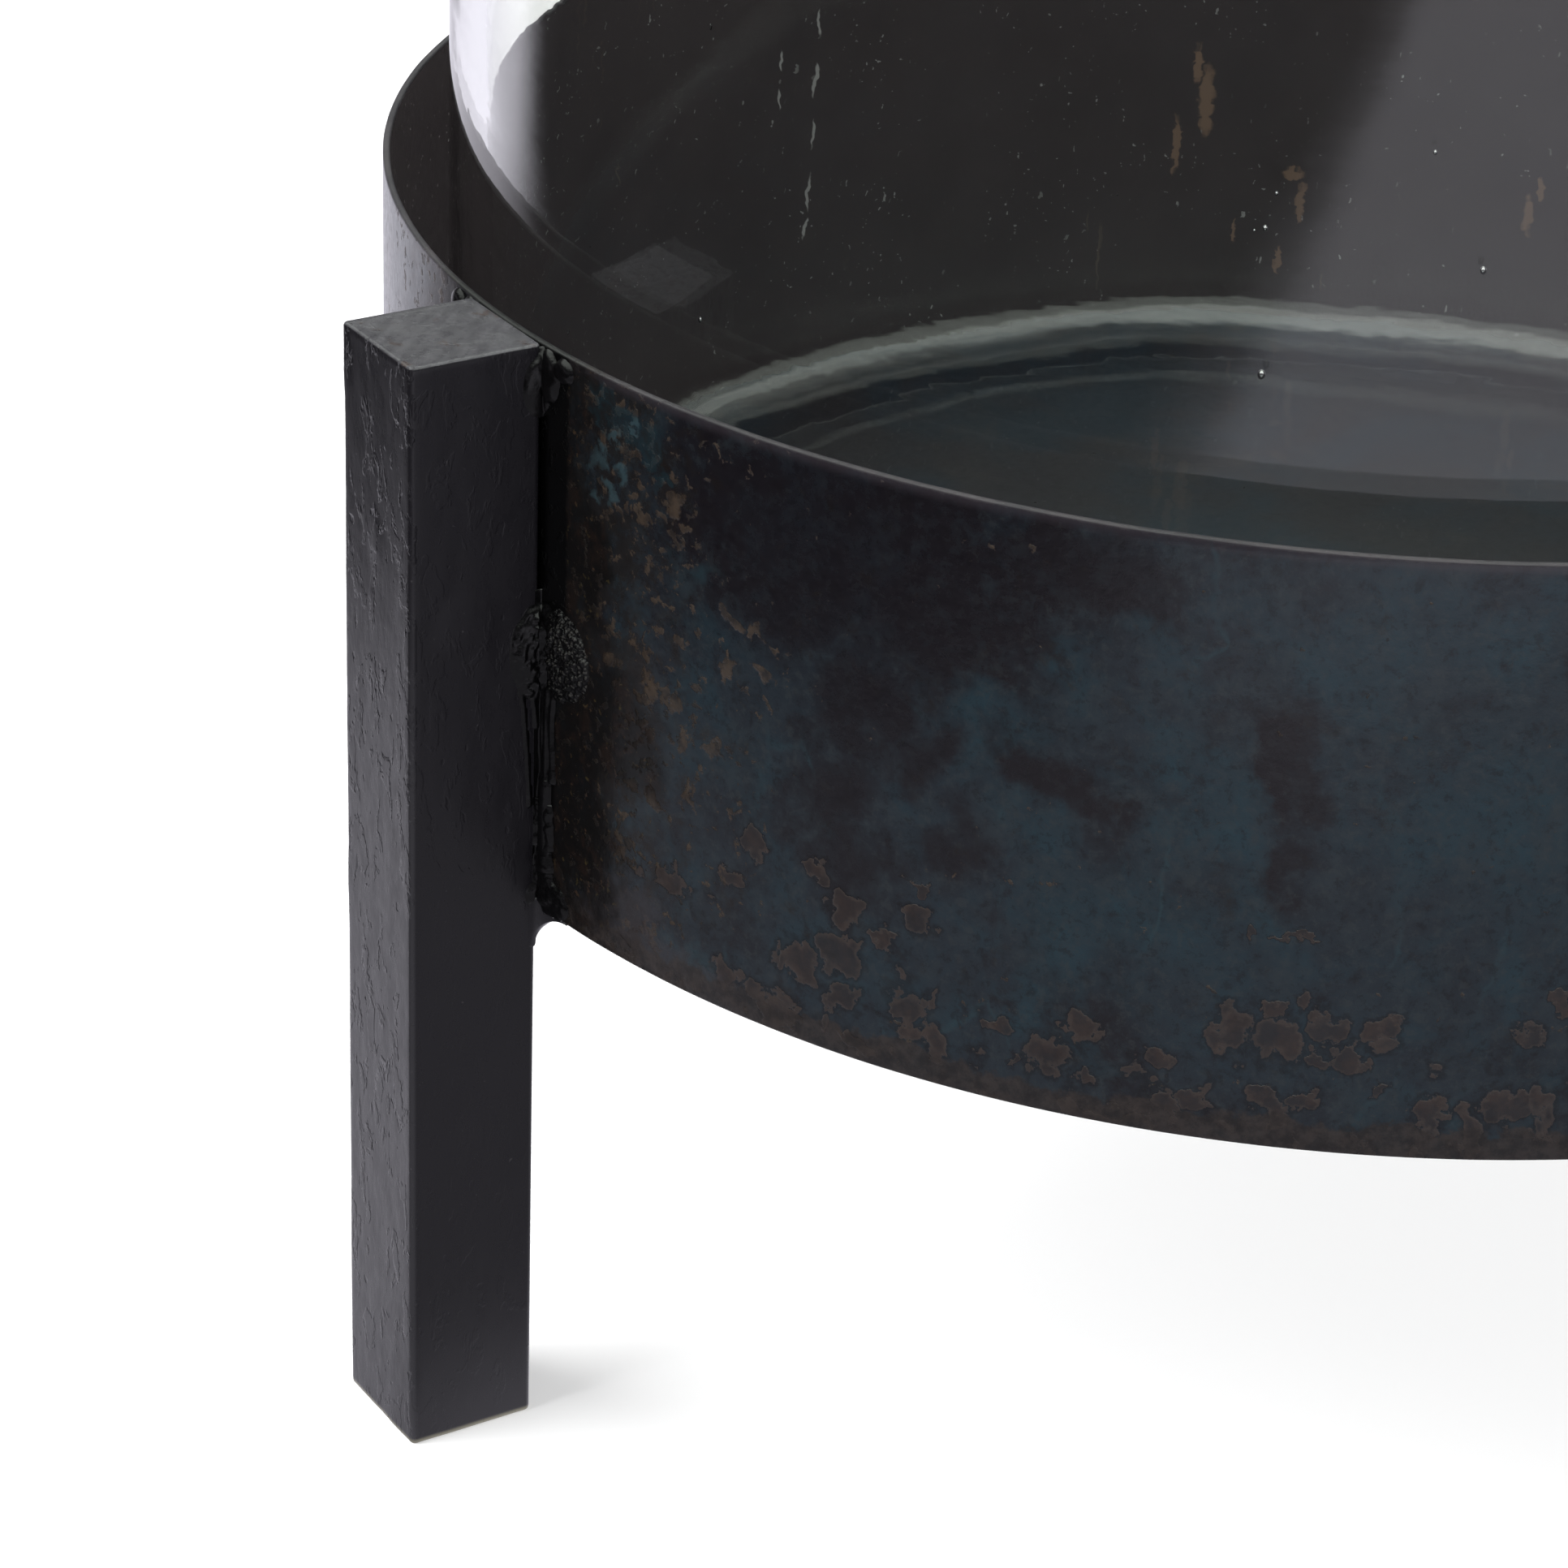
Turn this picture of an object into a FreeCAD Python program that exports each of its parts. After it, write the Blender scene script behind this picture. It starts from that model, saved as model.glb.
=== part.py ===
import FreeCAD, Part
import os

from Sketcher import Constraint

# A hurricane candle holder: a thick clear glass vessel that stands loose in a shallow round pan
# of thin blued steel.  Four square bars, tack welded to the outside of the pan, are its legs.
# Frame: origin on the table under the vessel's axis, +Z up, the front is towards -Y.

UP = FreeCAD.Vector(0, 0, 1)
ORIGIN = FreeCAD.Vector(0, 0, 0)
FULL_TURN = 360
FIRST_LEG_ANGLE = -45
LEG_PLACES = ("front_right", "back_right", "back_left", "front_left")
SEAM_ANGLE = 45

SIZES = (
    ("pan_diameter", 225, "outside of the pan's band"),
    ("sheet", 0.8, "thickness of the band and the floor"),
    ("band_height", 64, "height of the pan's band"),
    ("rim_rounding", 0.25, "worn rounding of the band's top edges"),
    ("floor_recess", 1, "pan floor's underside above the band's lower edge"),
    ("bar_side", 15, "side of the legs' square bar"),
    ("leg_length", 128, "leg, from the table to the band's rim"),
    ("bar_rounding", 0.7, "rounding of the bar's long edges"),
    ("foot_chamfer", 0.5, "bevel round the foot"),
    ("top_chamfer", 0.3, "ground edge round the leg's top"),
    ("glass_clearance", 6.7, "radial gap between band and glass"),
    ("glass_wall", 4, "thickness of the glass wall"),
    ("glass_base", 3, "thickness of the glass floor"),
    ("glass_height", 250, "vessel, from its foot to its lip"),
    ("heel_outside", 8, "outside radius between wall and foot"),
    ("heel_inside", 4, "inside radius between wall and floor"),
    ("lip_rounding", 1.8, "fire-polished rounding of the lip"),
    ("punt_depth", 0.8, "hollow in the underside of the vessel"),
    ("foot_ring", 14, "width of the flat ring the vessel stands on"),
    ("side_weld_radius", 4.4, "weld halfway up each side of a leg"),
    ("side_weld_height", 11, "height of that weld"),
    ("tack_radius", 2.6, "small tack close to the rim"),
    ("tack_height", 5, "height of that tack"),
    ("tack_below_rim", 3.2, "middle of that tack below the rim"),
    ("corner_weld_radius", 2.6, "weld at the band's lower edge"),
    ("corner_weld_height", 7, "height of that weld"),
    ("corner_weld_lift", 0.5, "its middle above the band's lower edge"),
    ("weld_roundness", 0.85, "rounding of a weld's ends, as a share of the most it can be"),
    ("floor_tack_count", 8, "tacks that hold the pan floor"),
    ("floor_tack_length", 9, "length of a floor tack"),
    ("floor_tack_leg", 1, "its height on the band and width on the floor"),
    ("seam_bead_radius", 1.6, "radius of the band's closing bead"),
    ("seam_bead_inset", 1, "bead's ends short of floor and rim"),
)

DERIVED = (
    ("pan_radius", "=pan_diameter / 2"),
    ("pan_inner_radius", "=pan_radius - sheet"),
    ("band_bottom", "=leg_length - band_height"),
    ("floor_bottom", "=band_bottom + floor_recess"),
    ("floor_top", "=floor_bottom + sheet"),
    ("glass_radius", "=pan_inner_radius - glass_clearance"),
    ("glass_inner_radius", "=glass_radius - glass_wall"),
    ("foot_ring_outer", "=glass_radius - heel_outside"),
    ("punt_radius", "=foot_ring_outer - foot_ring"),
    ("weld_line", "=sqrt(pan_radius * pan_radius - bar_side * bar_side / 4)"),
    ("side_weld_rounding", "=min(side_weld_radius; side_weld_height / 2) * weld_roundness"),
    ("tack_rounding", "=min(tack_radius; tack_height / 2) * weld_roundness"),
    ("corner_weld_rounding", "=min(corner_weld_radius; corner_weld_height / 2) * weld_roundness"),
)

WELDS = (
    ("rim_tacks", "sizes.tack", "sizes.leg_length - sizes.tack_below_rim"),
    ("side_welds", "sizes.side_weld", "sizes.leg_length - sizes.band_height / 2"),
    ("corner_welds", "sizes.corner_weld", "sizes.band_bottom + sizes.corner_weld_lift"),
)


def make_sheet(doc):
    """Puts every driving size and what follows from them into one spreadsheet."""
    sheet = doc.addObject("Spreadsheet::Sheet", "sizes")
    rows = [(name, str(value), note) for name, value, note in SIZES]
    rows += [(name, formula, "") for name, formula in DERIVED]
    for row, (name, value, note) in enumerate(rows, 1):
        sheet.set(f"A{row}", name)
        sheet.set(f"B{row}", value)
        sheet.set(f"C{row}", note)
        sheet.setAlias(f"B{row}", name)
    doc.recompute()
    return sheet


def bind(feature, **formulas):
    """Ties properties of a feature to the spreadsheet; a double underscore stands for a dot."""
    for name, formula in formulas.items():
        feature.setExpression(name.replace("__", "."), formula)


def new_body(doc, label, angle=0.0):
    body = doc.addObject("PartDesign::Body", label)
    body.Label = label
    body.Placement = FreeCAD.Placement(ORIGIN, FreeCAD.Rotation(UP, angle))
    return body


def origin_feature(body, role):
    """One of the body's own base planes or axes."""
    return next(f for f in body.Origin.OriginFeatures if f.Role == role)


def flat_sketch(body, name, height):
    """A sketch on the body's own XY plane, lifted to a height given by a formula."""
    sketch = body.newObject("Sketcher::SketchObject", name)
    sketch.AttachmentSupport = [(origin_feature(body, "XY_Plane"), "")]
    sketch.MapMode = "FlatFace"
    sketch.setExpression("AttachmentOffset.Base.z", height)
    return sketch


def add_circle(sketch, radius_name, radius):
    """A circle about the axis, its radius tied to the spreadsheet."""
    circle = sketch.addGeometry(Part.Circle(ORIGIN, UP, radius), False)
    sketch.addConstraint(Constraint("Coincident", circle, 3, -1, 1))
    size = sketch.addConstraint(Constraint("Radius", circle, radius))
    sketch.setExpression(f"Constraints[{size}]", radius_name)


def add_square(sketch, side_name, side, middle_name, middle):
    """A square on the X axis, its side and the place of its middle tied to the spreadsheet."""
    half = side / 2
    corners = [
        FreeCAD.Vector(middle - half, -half, 0),
        FreeCAD.Vector(middle + half, -half, 0),
        FreeCAD.Vector(middle + half, half, 0),
        FreeCAD.Vector(middle - half, half, 0),
    ]
    lines = []
    for start, end in zip(corners, corners[1:] + corners[:1]):
        lines.append(sketch.addGeometry(Part.LineSegment(start, end), False))
    near, outer, far, inner = lines
    for line, following in zip(lines, lines[1:] + lines[:1]):
        sketch.addConstraint(Constraint("Coincident", line, 2, following, 1))
    sketch.addConstraint(Constraint("Horizontal", near))
    sketch.addConstraint(Constraint("Horizontal", far))
    sketch.addConstraint(Constraint("Vertical", outer))
    sketch.addConstraint(Constraint("Symmetric", inner, 1, inner, 2, -1))
    width = sketch.addConstraint(Constraint("DistanceX", near, 1, near, 2, side))
    height = sketch.addConstraint(Constraint("DistanceY", outer, 1, outer, 2, side))
    place = sketch.addConstraint(Constraint("DistanceX", -1, 1, near, 1, middle - half))
    sketch.setExpression(f"Constraints[{width}]", side_name)
    sketch.setExpression(f"Constraints[{height}]", side_name)
    sketch.setExpression(f"Constraints[{place}]", middle_name)


def pad(body, sketch, name, length):
    feature = body.newObject("PartDesign::Pad", name)
    feature.Profile = sketch
    bind(feature, Length=length)
    body.Document.recompute()
    return feature


def edges_at(feature, height, radius=None):
    """Names of the edges that lie wholly at one height, or only the circles of one radius."""
    near = 1e-4
    names = []
    for number, edge in enumerate(feature.Shape.Edges, 1):
        box = edge.BoundBox
        flat = abs(box.ZMin - height) < near and abs(box.ZMax - height) < near
        if flat and (radius is None or abs(box.XMax - radius) < near):
            names.append(f"Edge{number}")
    return names


def level_edges(feature):
    """Names of all the edges that lie level."""
    near = 1e-4
    edges = enumerate(feature.Shape.Edges, 1)
    return [f"Edge{number}" for number, edge in edges if edge.BoundBox.ZLength < near]


def upright_edges(feature, length):
    near = 1e-4
    edges = enumerate(feature.Shape.Edges, 1)
    return [f"Edge{number}" for number, edge in edges if abs(edge.BoundBox.ZLength - length) < near]


def dress(body, base, kind, name, size_name, edge_names):
    """A fillet or chamfer of one named size on the given edges."""
    feature = body.newObject(f"PartDesign::{kind}", name)
    feature.Base = (base, edge_names)
    bind(feature, **{"Radius" if kind == "Fillet" else "Size": size_name})
    body.Document.recompute()
    return feature


def make_band(doc, sizes):
    """The pan's wall: a strip of sheet rolled to a ring, with a worn upper edge."""
    body = new_body(doc, "pan_band")
    sketch = flat_sketch(body, "band_outline", "sizes.band_bottom")
    add_circle(sketch, "sizes.pan_radius", sizes.pan_radius)
    add_circle(sketch, "sizes.pan_inner_radius", sizes.pan_inner_radius)
    wall = pad(body, sketch, "band_wall", "sizes.band_height")
    dress(body, wall, "Fillet", "band_rim", "sizes.rim_rounding", edges_at(wall, sizes.leg_length))
    return body


def make_floor(doc, sizes):
    """The pan's floor: a disc that fills the band, a little above its lower edge."""
    body = new_body(doc, "pan_floor")
    sketch = flat_sketch(body, "floor_outline", "sizes.floor_bottom")
    add_circle(sketch, "sizes.pan_inner_radius", sizes.pan_inner_radius)
    pad(body, sketch, "floor_disc", "sizes.sheet")
    return body


def make_leg(doc, sizes, place, angle):
    """A length of square bar, from the table to the rim, flat against the band."""
    body = new_body(doc, f"leg_{place}", angle)
    sketch = flat_sketch(body, f"bar_section_{place}", "0 mm")
    middle = sizes.pan_radius + sizes.bar_side / 2
    add_square(sketch, "sizes.bar_side", sizes.bar_side, "sizes.pan_radius", middle)
    bar = pad(body, sketch, f"bar_{place}", "sizes.leg_length")
    long_edges = upright_edges(bar, sizes.leg_length)
    bar = dress(body, bar, "Fillet", f"bar_edges_{place}", "sizes.bar_rounding", long_edges)
    bar = dress(body, bar, "Chamfer", f"foot_{place}", "sizes.foot_chamfer", edges_at(bar, 0))
    top = edges_at(bar, sizes.leg_length)
    dress(body, bar, "Chamfer", f"top_{place}", "sizes.top_chamfer", top)
    return body


def make_weld_pair(doc, kind, place, angle, size, middle):
    """Two round lumps of weld, one each side of a leg, in the corners between bar and band."""
    body = new_body(doc, f"{kind}_{place}", angle)
    body.AllowCompound = True
    for side, sign in (("left", ""), ("right", "-")):
        lump = body.newObject("PartDesign::AdditiveCylinder", f"{kind}_{side}_{place}")
        bind(lump, Radius=f"{size}_radius", Height=f"{size}_height")
        bind(lump, Placement__Base__x="sizes.weld_line")
        bind(lump, Placement__Base__y=f"{sign}sizes.bar_side / 2")
        bind(lump, Placement__Base__z=f"{middle} - {size}_height / 2")
    doc.recompute()
    dress(body, lump, "Fillet", f"{kind}_ends_{place}", f"{size}_rounding", level_edges(lump))
    pan = body.newObject("PartDesign::SubtractiveCylinder", f"{kind}_pan_{place}")
    bind(pan, Radius="sizes.pan_radius", Height="sizes.leg_length")
    bar = body.newObject("PartDesign::SubtractiveBox", f"{kind}_bar_{place}")
    bind(bar, Length="sizes.bar_side + sizes.pan_radius", Width="sizes.bar_side")
    bind(bar, Height="sizes.leg_length", Placement__Base__y="-sizes.bar_side / 2")
    doc.recompute()
    return body


def add_corner_triangle(sketch, reach, leg, top):
    """A weld's right-angled section: one leg along the floor, one down the band."""
    corner = FreeCAD.Vector(reach, top, 0)
    inner = FreeCAD.Vector(reach - leg, top, 0)
    lower = FreeCAD.Vector(reach, top - leg, 0)
    floor_side = sketch.addGeometry(Part.LineSegment(corner, inner), False)
    face = sketch.addGeometry(Part.LineSegment(inner, lower), False)
    band_side = sketch.addGeometry(Part.LineSegment(lower, corner), False)
    sketch.addConstraint(Constraint("Coincident", floor_side, 2, face, 1))
    sketch.addConstraint(Constraint("Coincident", face, 2, band_side, 1))
    sketch.addConstraint(Constraint("Coincident", band_side, 2, floor_side, 1))
    sketch.addConstraint(Constraint("Horizontal", floor_side))
    sketch.addConstraint(Constraint("Vertical", band_side))
    width = sketch.addConstraint(Constraint("DistanceX", floor_side, 2, floor_side, 1, leg))
    height = sketch.addConstraint(Constraint("DistanceY", band_side, 1, band_side, 2, leg))
    across = sketch.addConstraint(Constraint("DistanceX", -1, 1, floor_side, 1, reach))
    up = sketch.addConstraint(Constraint("DistanceY", -1, 1, floor_side, 1, top))
    sketch.setExpression(f"Constraints[{width}]", "sizes.floor_tack_leg")
    sketch.setExpression(f"Constraints[{height}]", "sizes.floor_tack_leg")
    sketch.setExpression(f"Constraints[{across}]", "sizes.pan_inner_radius")
    sketch.setExpression(f"Constraints[{up}]", "sizes.floor_bottom")


def make_floor_tacks(doc, sizes):
    """Short welds under the floor's edge, in the corner between the disc and the band."""
    body = new_body(doc, "floor_tacks")
    body.AllowCompound = True
    section = body.newObject("Sketcher::SketchObject", "tack_section")
    section.AttachmentSupport = [(origin_feature(body, "XZ_Plane"), "")]
    section.MapMode = "FlatFace"
    add_corner_triangle(
        section, sizes.pan_inner_radius, sizes.floor_tack_leg, sizes.floor_bottom
    )
    tack = body.newObject("PartDesign::Revolution", "floor_tack")
    tack.Profile = section
    tack.ReferenceAxis = (section, ["V_Axis"])
    bind(tack, Angle="sizes.floor_tack_length / sizes.pan_inner_radius * 180 / pi")
    doc.recompute()
    ring = body.newObject("PartDesign::PolarPattern", "floor_tack_ring")
    ring.Originals = [tack]
    ring.Axis = (origin_feature(body, "Z_Axis"), [""])
    ring.Angle = FULL_TURN
    bind(ring, Occurrences="sizes.floor_tack_count")
    body.Tip = ring
    doc.recompute()
    return body


def make_seam_bead(doc):
    """The upright weld that closes the rolled band, left proud on its inside behind a leg."""
    rod = doc.addObject("Part::Cylinder", "seam_rod")
    bind(rod, Radius="sizes.seam_bead_radius")
    bind(rod, Height="sizes.leg_length - sizes.floor_top - 2 * sizes.seam_bead_inset")
    bind(rod, Placement__Base__x=f"sizes.pan_inner_radius * cos({SEAM_ANGLE} deg)")
    bind(rod, Placement__Base__y=f"sizes.pan_inner_radius * sin({SEAM_ANGLE} deg)")
    bind(rod, Placement__Base__z="sizes.floor_top + sizes.seam_bead_inset")
    inside = doc.addObject("Part::Cylinder", "space_in_band")
    bind(inside, Radius="sizes.pan_inner_radius", Height="sizes.leg_length")
    bead = doc.addObject("Part::Common", "band_seam_weld")
    bead.Base = rod
    bead.Tool = inside
    bead.Label = "band_seam_weld"
    doc.recompute()
    return bead


def make_glass(doc, sizes):
    """The vessel: a thick straight wall on a rounded heel, a flat floor and a polished lip."""
    body = new_body(doc, "glass_vessel")
    lip = sizes.floor_top + sizes.glass_height
    outline = flat_sketch(body, "glass_outline", "sizes.floor_top")
    add_circle(outline, "sizes.glass_radius", sizes.glass_radius)
    glass = pad(body, outline, "glass_block", "sizes.glass_height")
    heel = edges_at(glass, sizes.floor_top)
    glass = dress(body, glass, "Fillet", "outer_heel", "sizes.heel_outside", heel)
    mouth = flat_sketch(body, "mouth_outline", "sizes.floor_top + sizes.glass_height")
    add_circle(mouth, "sizes.glass_inner_radius", sizes.glass_inner_radius)
    hollow = body.newObject("PartDesign::Pocket", "hollow")
    hollow.Profile = mouth
    bind(hollow, Length="sizes.glass_height - sizes.glass_base")
    doc.recompute()
    corner = edges_at(hollow, sizes.floor_top + sizes.glass_base, sizes.glass_inner_radius)
    glass = dress(body, hollow, "Fillet", "inner_heel", "sizes.heel_inside", corner)
    glass = dress(body, glass, "Fillet", "lip", "sizes.lip_rounding", edges_at(glass, lip))
    underside = flat_sketch(body, "punt_outline", "sizes.floor_top")
    add_circle(underside, "sizes.punt_radius", sizes.punt_radius)
    punt = body.newObject("PartDesign::Pocket", "punt")
    punt.Profile = underside
    punt.Reversed = True
    bind(punt, Length="sizes.punt_depth")
    doc.recompute()
    return body


def check(doc, parts):
    """Stops if any object failed or any piece has no sound shape."""
    for item in doc.Objects:
        if "Invalid" in item.State or "Error" in item.State:
            raise RuntimeError(f"{item.Name} failed: {item.State}")
    for part in parts:
        if part.Shape.isNull() or not part.Shape.isValid():
            raise RuntimeError(f"{part.Label} has no sound shape")


def main():
    doc = FreeCAD.newDocument("hurricane")
    sizes = make_sheet(doc)
    parts = [make_glass(doc, sizes), make_band(doc, sizes), make_floor(doc, sizes)]
    parts += [make_floor_tacks(doc, sizes), make_seam_bead(doc)]
    for number, place in enumerate(LEG_PLACES):
        angle = FIRST_LEG_ANGLE + number * FULL_TURN / len(LEG_PLACES)
        parts.append(make_leg(doc, sizes, place, angle))
        for kind, size, middle in WELDS:
            parts.append(make_weld_pair(doc, kind, place, angle, size, middle))
    doc.recompute()
    check(doc, parts)
    os.makedirs("parts", exist_ok=True)
    for part in parts:
        part.Shape.exportStep(f"parts/{part.Label}.step")
        solids = len(part.Shape.Solids)
        print(f"{part.Label}: {solids} solid(s), {part.Shape.Volume:.1f} mm3")


main()
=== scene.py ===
import math

import bpy
import numpy as np
from mathutils import Matrix, Vector


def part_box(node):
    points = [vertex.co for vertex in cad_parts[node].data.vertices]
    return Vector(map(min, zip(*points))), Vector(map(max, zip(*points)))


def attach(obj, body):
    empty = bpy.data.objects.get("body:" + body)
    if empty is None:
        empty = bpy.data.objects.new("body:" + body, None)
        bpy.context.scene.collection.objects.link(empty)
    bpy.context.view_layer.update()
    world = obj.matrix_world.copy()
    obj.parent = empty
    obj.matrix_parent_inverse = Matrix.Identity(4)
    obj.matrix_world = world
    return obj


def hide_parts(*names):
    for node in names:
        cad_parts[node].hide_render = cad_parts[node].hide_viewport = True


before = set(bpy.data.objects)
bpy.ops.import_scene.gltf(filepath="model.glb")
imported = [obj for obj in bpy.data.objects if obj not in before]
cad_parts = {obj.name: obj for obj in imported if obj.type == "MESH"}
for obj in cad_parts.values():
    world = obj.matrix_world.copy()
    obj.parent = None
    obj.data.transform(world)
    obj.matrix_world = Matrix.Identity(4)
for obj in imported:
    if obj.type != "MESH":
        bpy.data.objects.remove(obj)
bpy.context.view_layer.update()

# Everything is in metres, in the frame of the part: origin on the table, +Z up, front towards -Y.
MM = 0.001
LEG_ANGLES = {"front_right": -45, "back_right": 45, "back_left": 135, "front_left": 225}

BAND_LOW, BAND_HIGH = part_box("pan_band")
FLOOR_LOW, FLOOR_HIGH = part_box("pan_floor")
GLASS_LOW, GLASS_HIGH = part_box("glass_vessel")
PAN_R = BAND_HIGH.x
PAN_INNER_R = FLOOR_HIGH.x
RIM_Z = BAND_HIGH.z
EDGE_Z = BAND_LOW.z
BAND_HALF = (RIM_Z - EDGE_Z) / 2
GLASS_R = GLASS_HIGH.x
FOOT_Z = GLASS_LOW.z
LIP_Z = GLASS_HIGH.z
BAR = 15 * MM
GLASS_WALL = 4 * MM
GLASS_BASE = 3 * MM
HEEL_OUTSIDE = 8 * MM
HEEL_INSIDE = 4 * MM
PUNT = 0.8 * MM
SUNK = 0.3 * MM  # how deep a weld's skin lies in the steel where it has no thickness


# ---------------------------------------------------------------- shapes

def roughness(points, size, seed, octaves=1):
    """Smooth noise from -1 to 1 at an (n, 3) array, its bumps about size metres apart."""
    total = np.zeros(len(points))
    weight = 1.0
    for octave in range(octaves):
        place = points / (size / 2 ** octave) + 31.7 * (seed + octave)
        corner = np.floor(place).astype(np.int64)
        part = place - corner
        part = part ** 3 * (part * (part * 6 - 15) + 10)
        value = np.zeros(len(points))
        for step in np.ndindex(2, 2, 2):
            x, y, z = (corner + np.array(step)).T
            mixed = (x * 73856093) ^ (y * 19349663) ^ (z * 83492791)
            mixed = ((mixed ^ (mixed >> 13)) * 1274126177) & 0x7FFFFFFF
            mixed = ((mixed ^ (mixed >> 15)) * 668265263) & 0x7FFFFFFF
            near = np.where(np.array(step), part, 1 - part).prod(axis=1)
            value += near * (mixed / 0x3FFFFFFF - 1)
        total += weight * value
        weight /= 2
    return total / (2 - 2.0 ** (1 - octaves))


def placed(name, data):
    """A new object in the scene."""
    thing = bpy.data.objects.new(name, data)
    bpy.context.scene.collection.objects.link(thing)
    return thing


def mesh_piece(name, points, faces, material, body, nodes=()):
    """A new piece from its points and faces, riding on a body and standing for CAD nodes."""
    mesh = bpy.data.meshes.new(name)
    mesh.from_pydata(points.tolist(), [], faces)
    mesh.validate()
    mesh.shade_smooth()
    mesh.materials.append(material)
    piece = placed(name, mesh)
    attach(piece, body)
    if nodes:
        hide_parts(*nodes)
    return piece


def grid_faces(rows, columns, wrap_rows=False, wrap_columns=False, first=0):
    """Quads of a grid of points stored row by row."""
    faces = []
    for row in range(rows if wrap_rows else rows - 1):
        upper = (row + 1) % rows
        for column in range(columns if wrap_columns else columns - 1):
            following = (column + 1) % columns
            faces.append((
                first + row * columns + column, first + row * columns + following,
                first + upper * columns + following, first + upper * columns + column,
            ))
    return faces


def arc(centre, radius, start, end, steps):
    """Points of an arc in the (radius, height) plane, angles in degrees from outwards."""
    angles = np.radians(np.linspace(start, end, steps))
    return [(centre[0] + radius * math.cos(a), centre[1] + radius * math.sin(a)) for a in angles]


def line(start, end, spacing):
    """Points of a straight run, its first point kept and its last one left to what follows."""
    count = max(1, round(math.dist(start, end) / spacing))
    return [tuple(np.array(start) + (np.array(end) - start) * n / count) for n in range(count)]


def turned(profile, steps):
    """Rows of points, one row per profile point, turned about the axis."""
    angles = np.arange(steps) * math.tau / steps
    profile = np.array(profile)
    radius, height = profile[:, :1], profile[:, 1:]
    return np.stack([
        radius * np.cos(angles), radius * np.sin(angles), np.repeat(height, steps, axis=1)
    ], axis=2)


def make_band(material):
    """The pan's rolled wall: a little out of true, with a dented, worn rim."""
    edge = 0.25 * MM
    low, high = EDGE_Z, RIM_Z
    profile = line((PAN_R, low + edge), (PAN_R, high - edge), 0.8 * MM)
    profile += arc((PAN_R - edge, high - edge), edge, 0, 90, 4)
    profile += arc((PAN_INNER_R + edge, high - edge), edge, 90, 180, 4)[:-1]
    profile += line((PAN_INNER_R, high - edge), (PAN_INNER_R, low + edge), 1.3 * MM)
    profile += arc((PAN_INNER_R + edge, low + edge), edge, 180, 270, 3)
    profile += arc((PAN_R - edge, low + edge), edge, 270, 360, 3)[:-1]
    steps = 880
    grid = turned(profile, steps)
    flat = grid.reshape(-1, 3)
    middle = flat * [1, 1, 0]
    away = np.min([
        np.linalg.norm(middle - PAN_R * np.array([math.cos(a), math.sin(a), 0]), axis=1)
        for a in np.radians(list(LEG_ANGLES.values()))
    ], axis=0)
    free = np.clip((away - 12 * MM) / (14 * MM), 0, 1)
    upright = flat * [1, 1, 0.12]
    dent = 0.07 + 0.06 * roughness(middle, 45 * MM, 1) + 0.03 * roughness(upright, 8 * MM, 2, 2)
    inward = np.clip(dent, 0, 1) * MM * free + 0.02 * MM
    radius = np.linalg.norm(middle, axis=1)
    flat[:, :2] *= (1 - inward / radius)[:, None]
    share = np.clip((flat[:, 2] - high + 2 * MM) / (2 * MM), 0, 1)
    worn = 0.06 + 0.05 * roughness(middle, 9 * MM, 3, 3)
    flat[:, 2] -= np.clip(worn, 0, 1) * MM * share
    faces = grid_faces(len(profile), steps, wrap_rows=True, wrap_columns=True)
    return mesh_piece("band_sheet", flat, faces, material, "stand", ["pan_band"])


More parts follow.
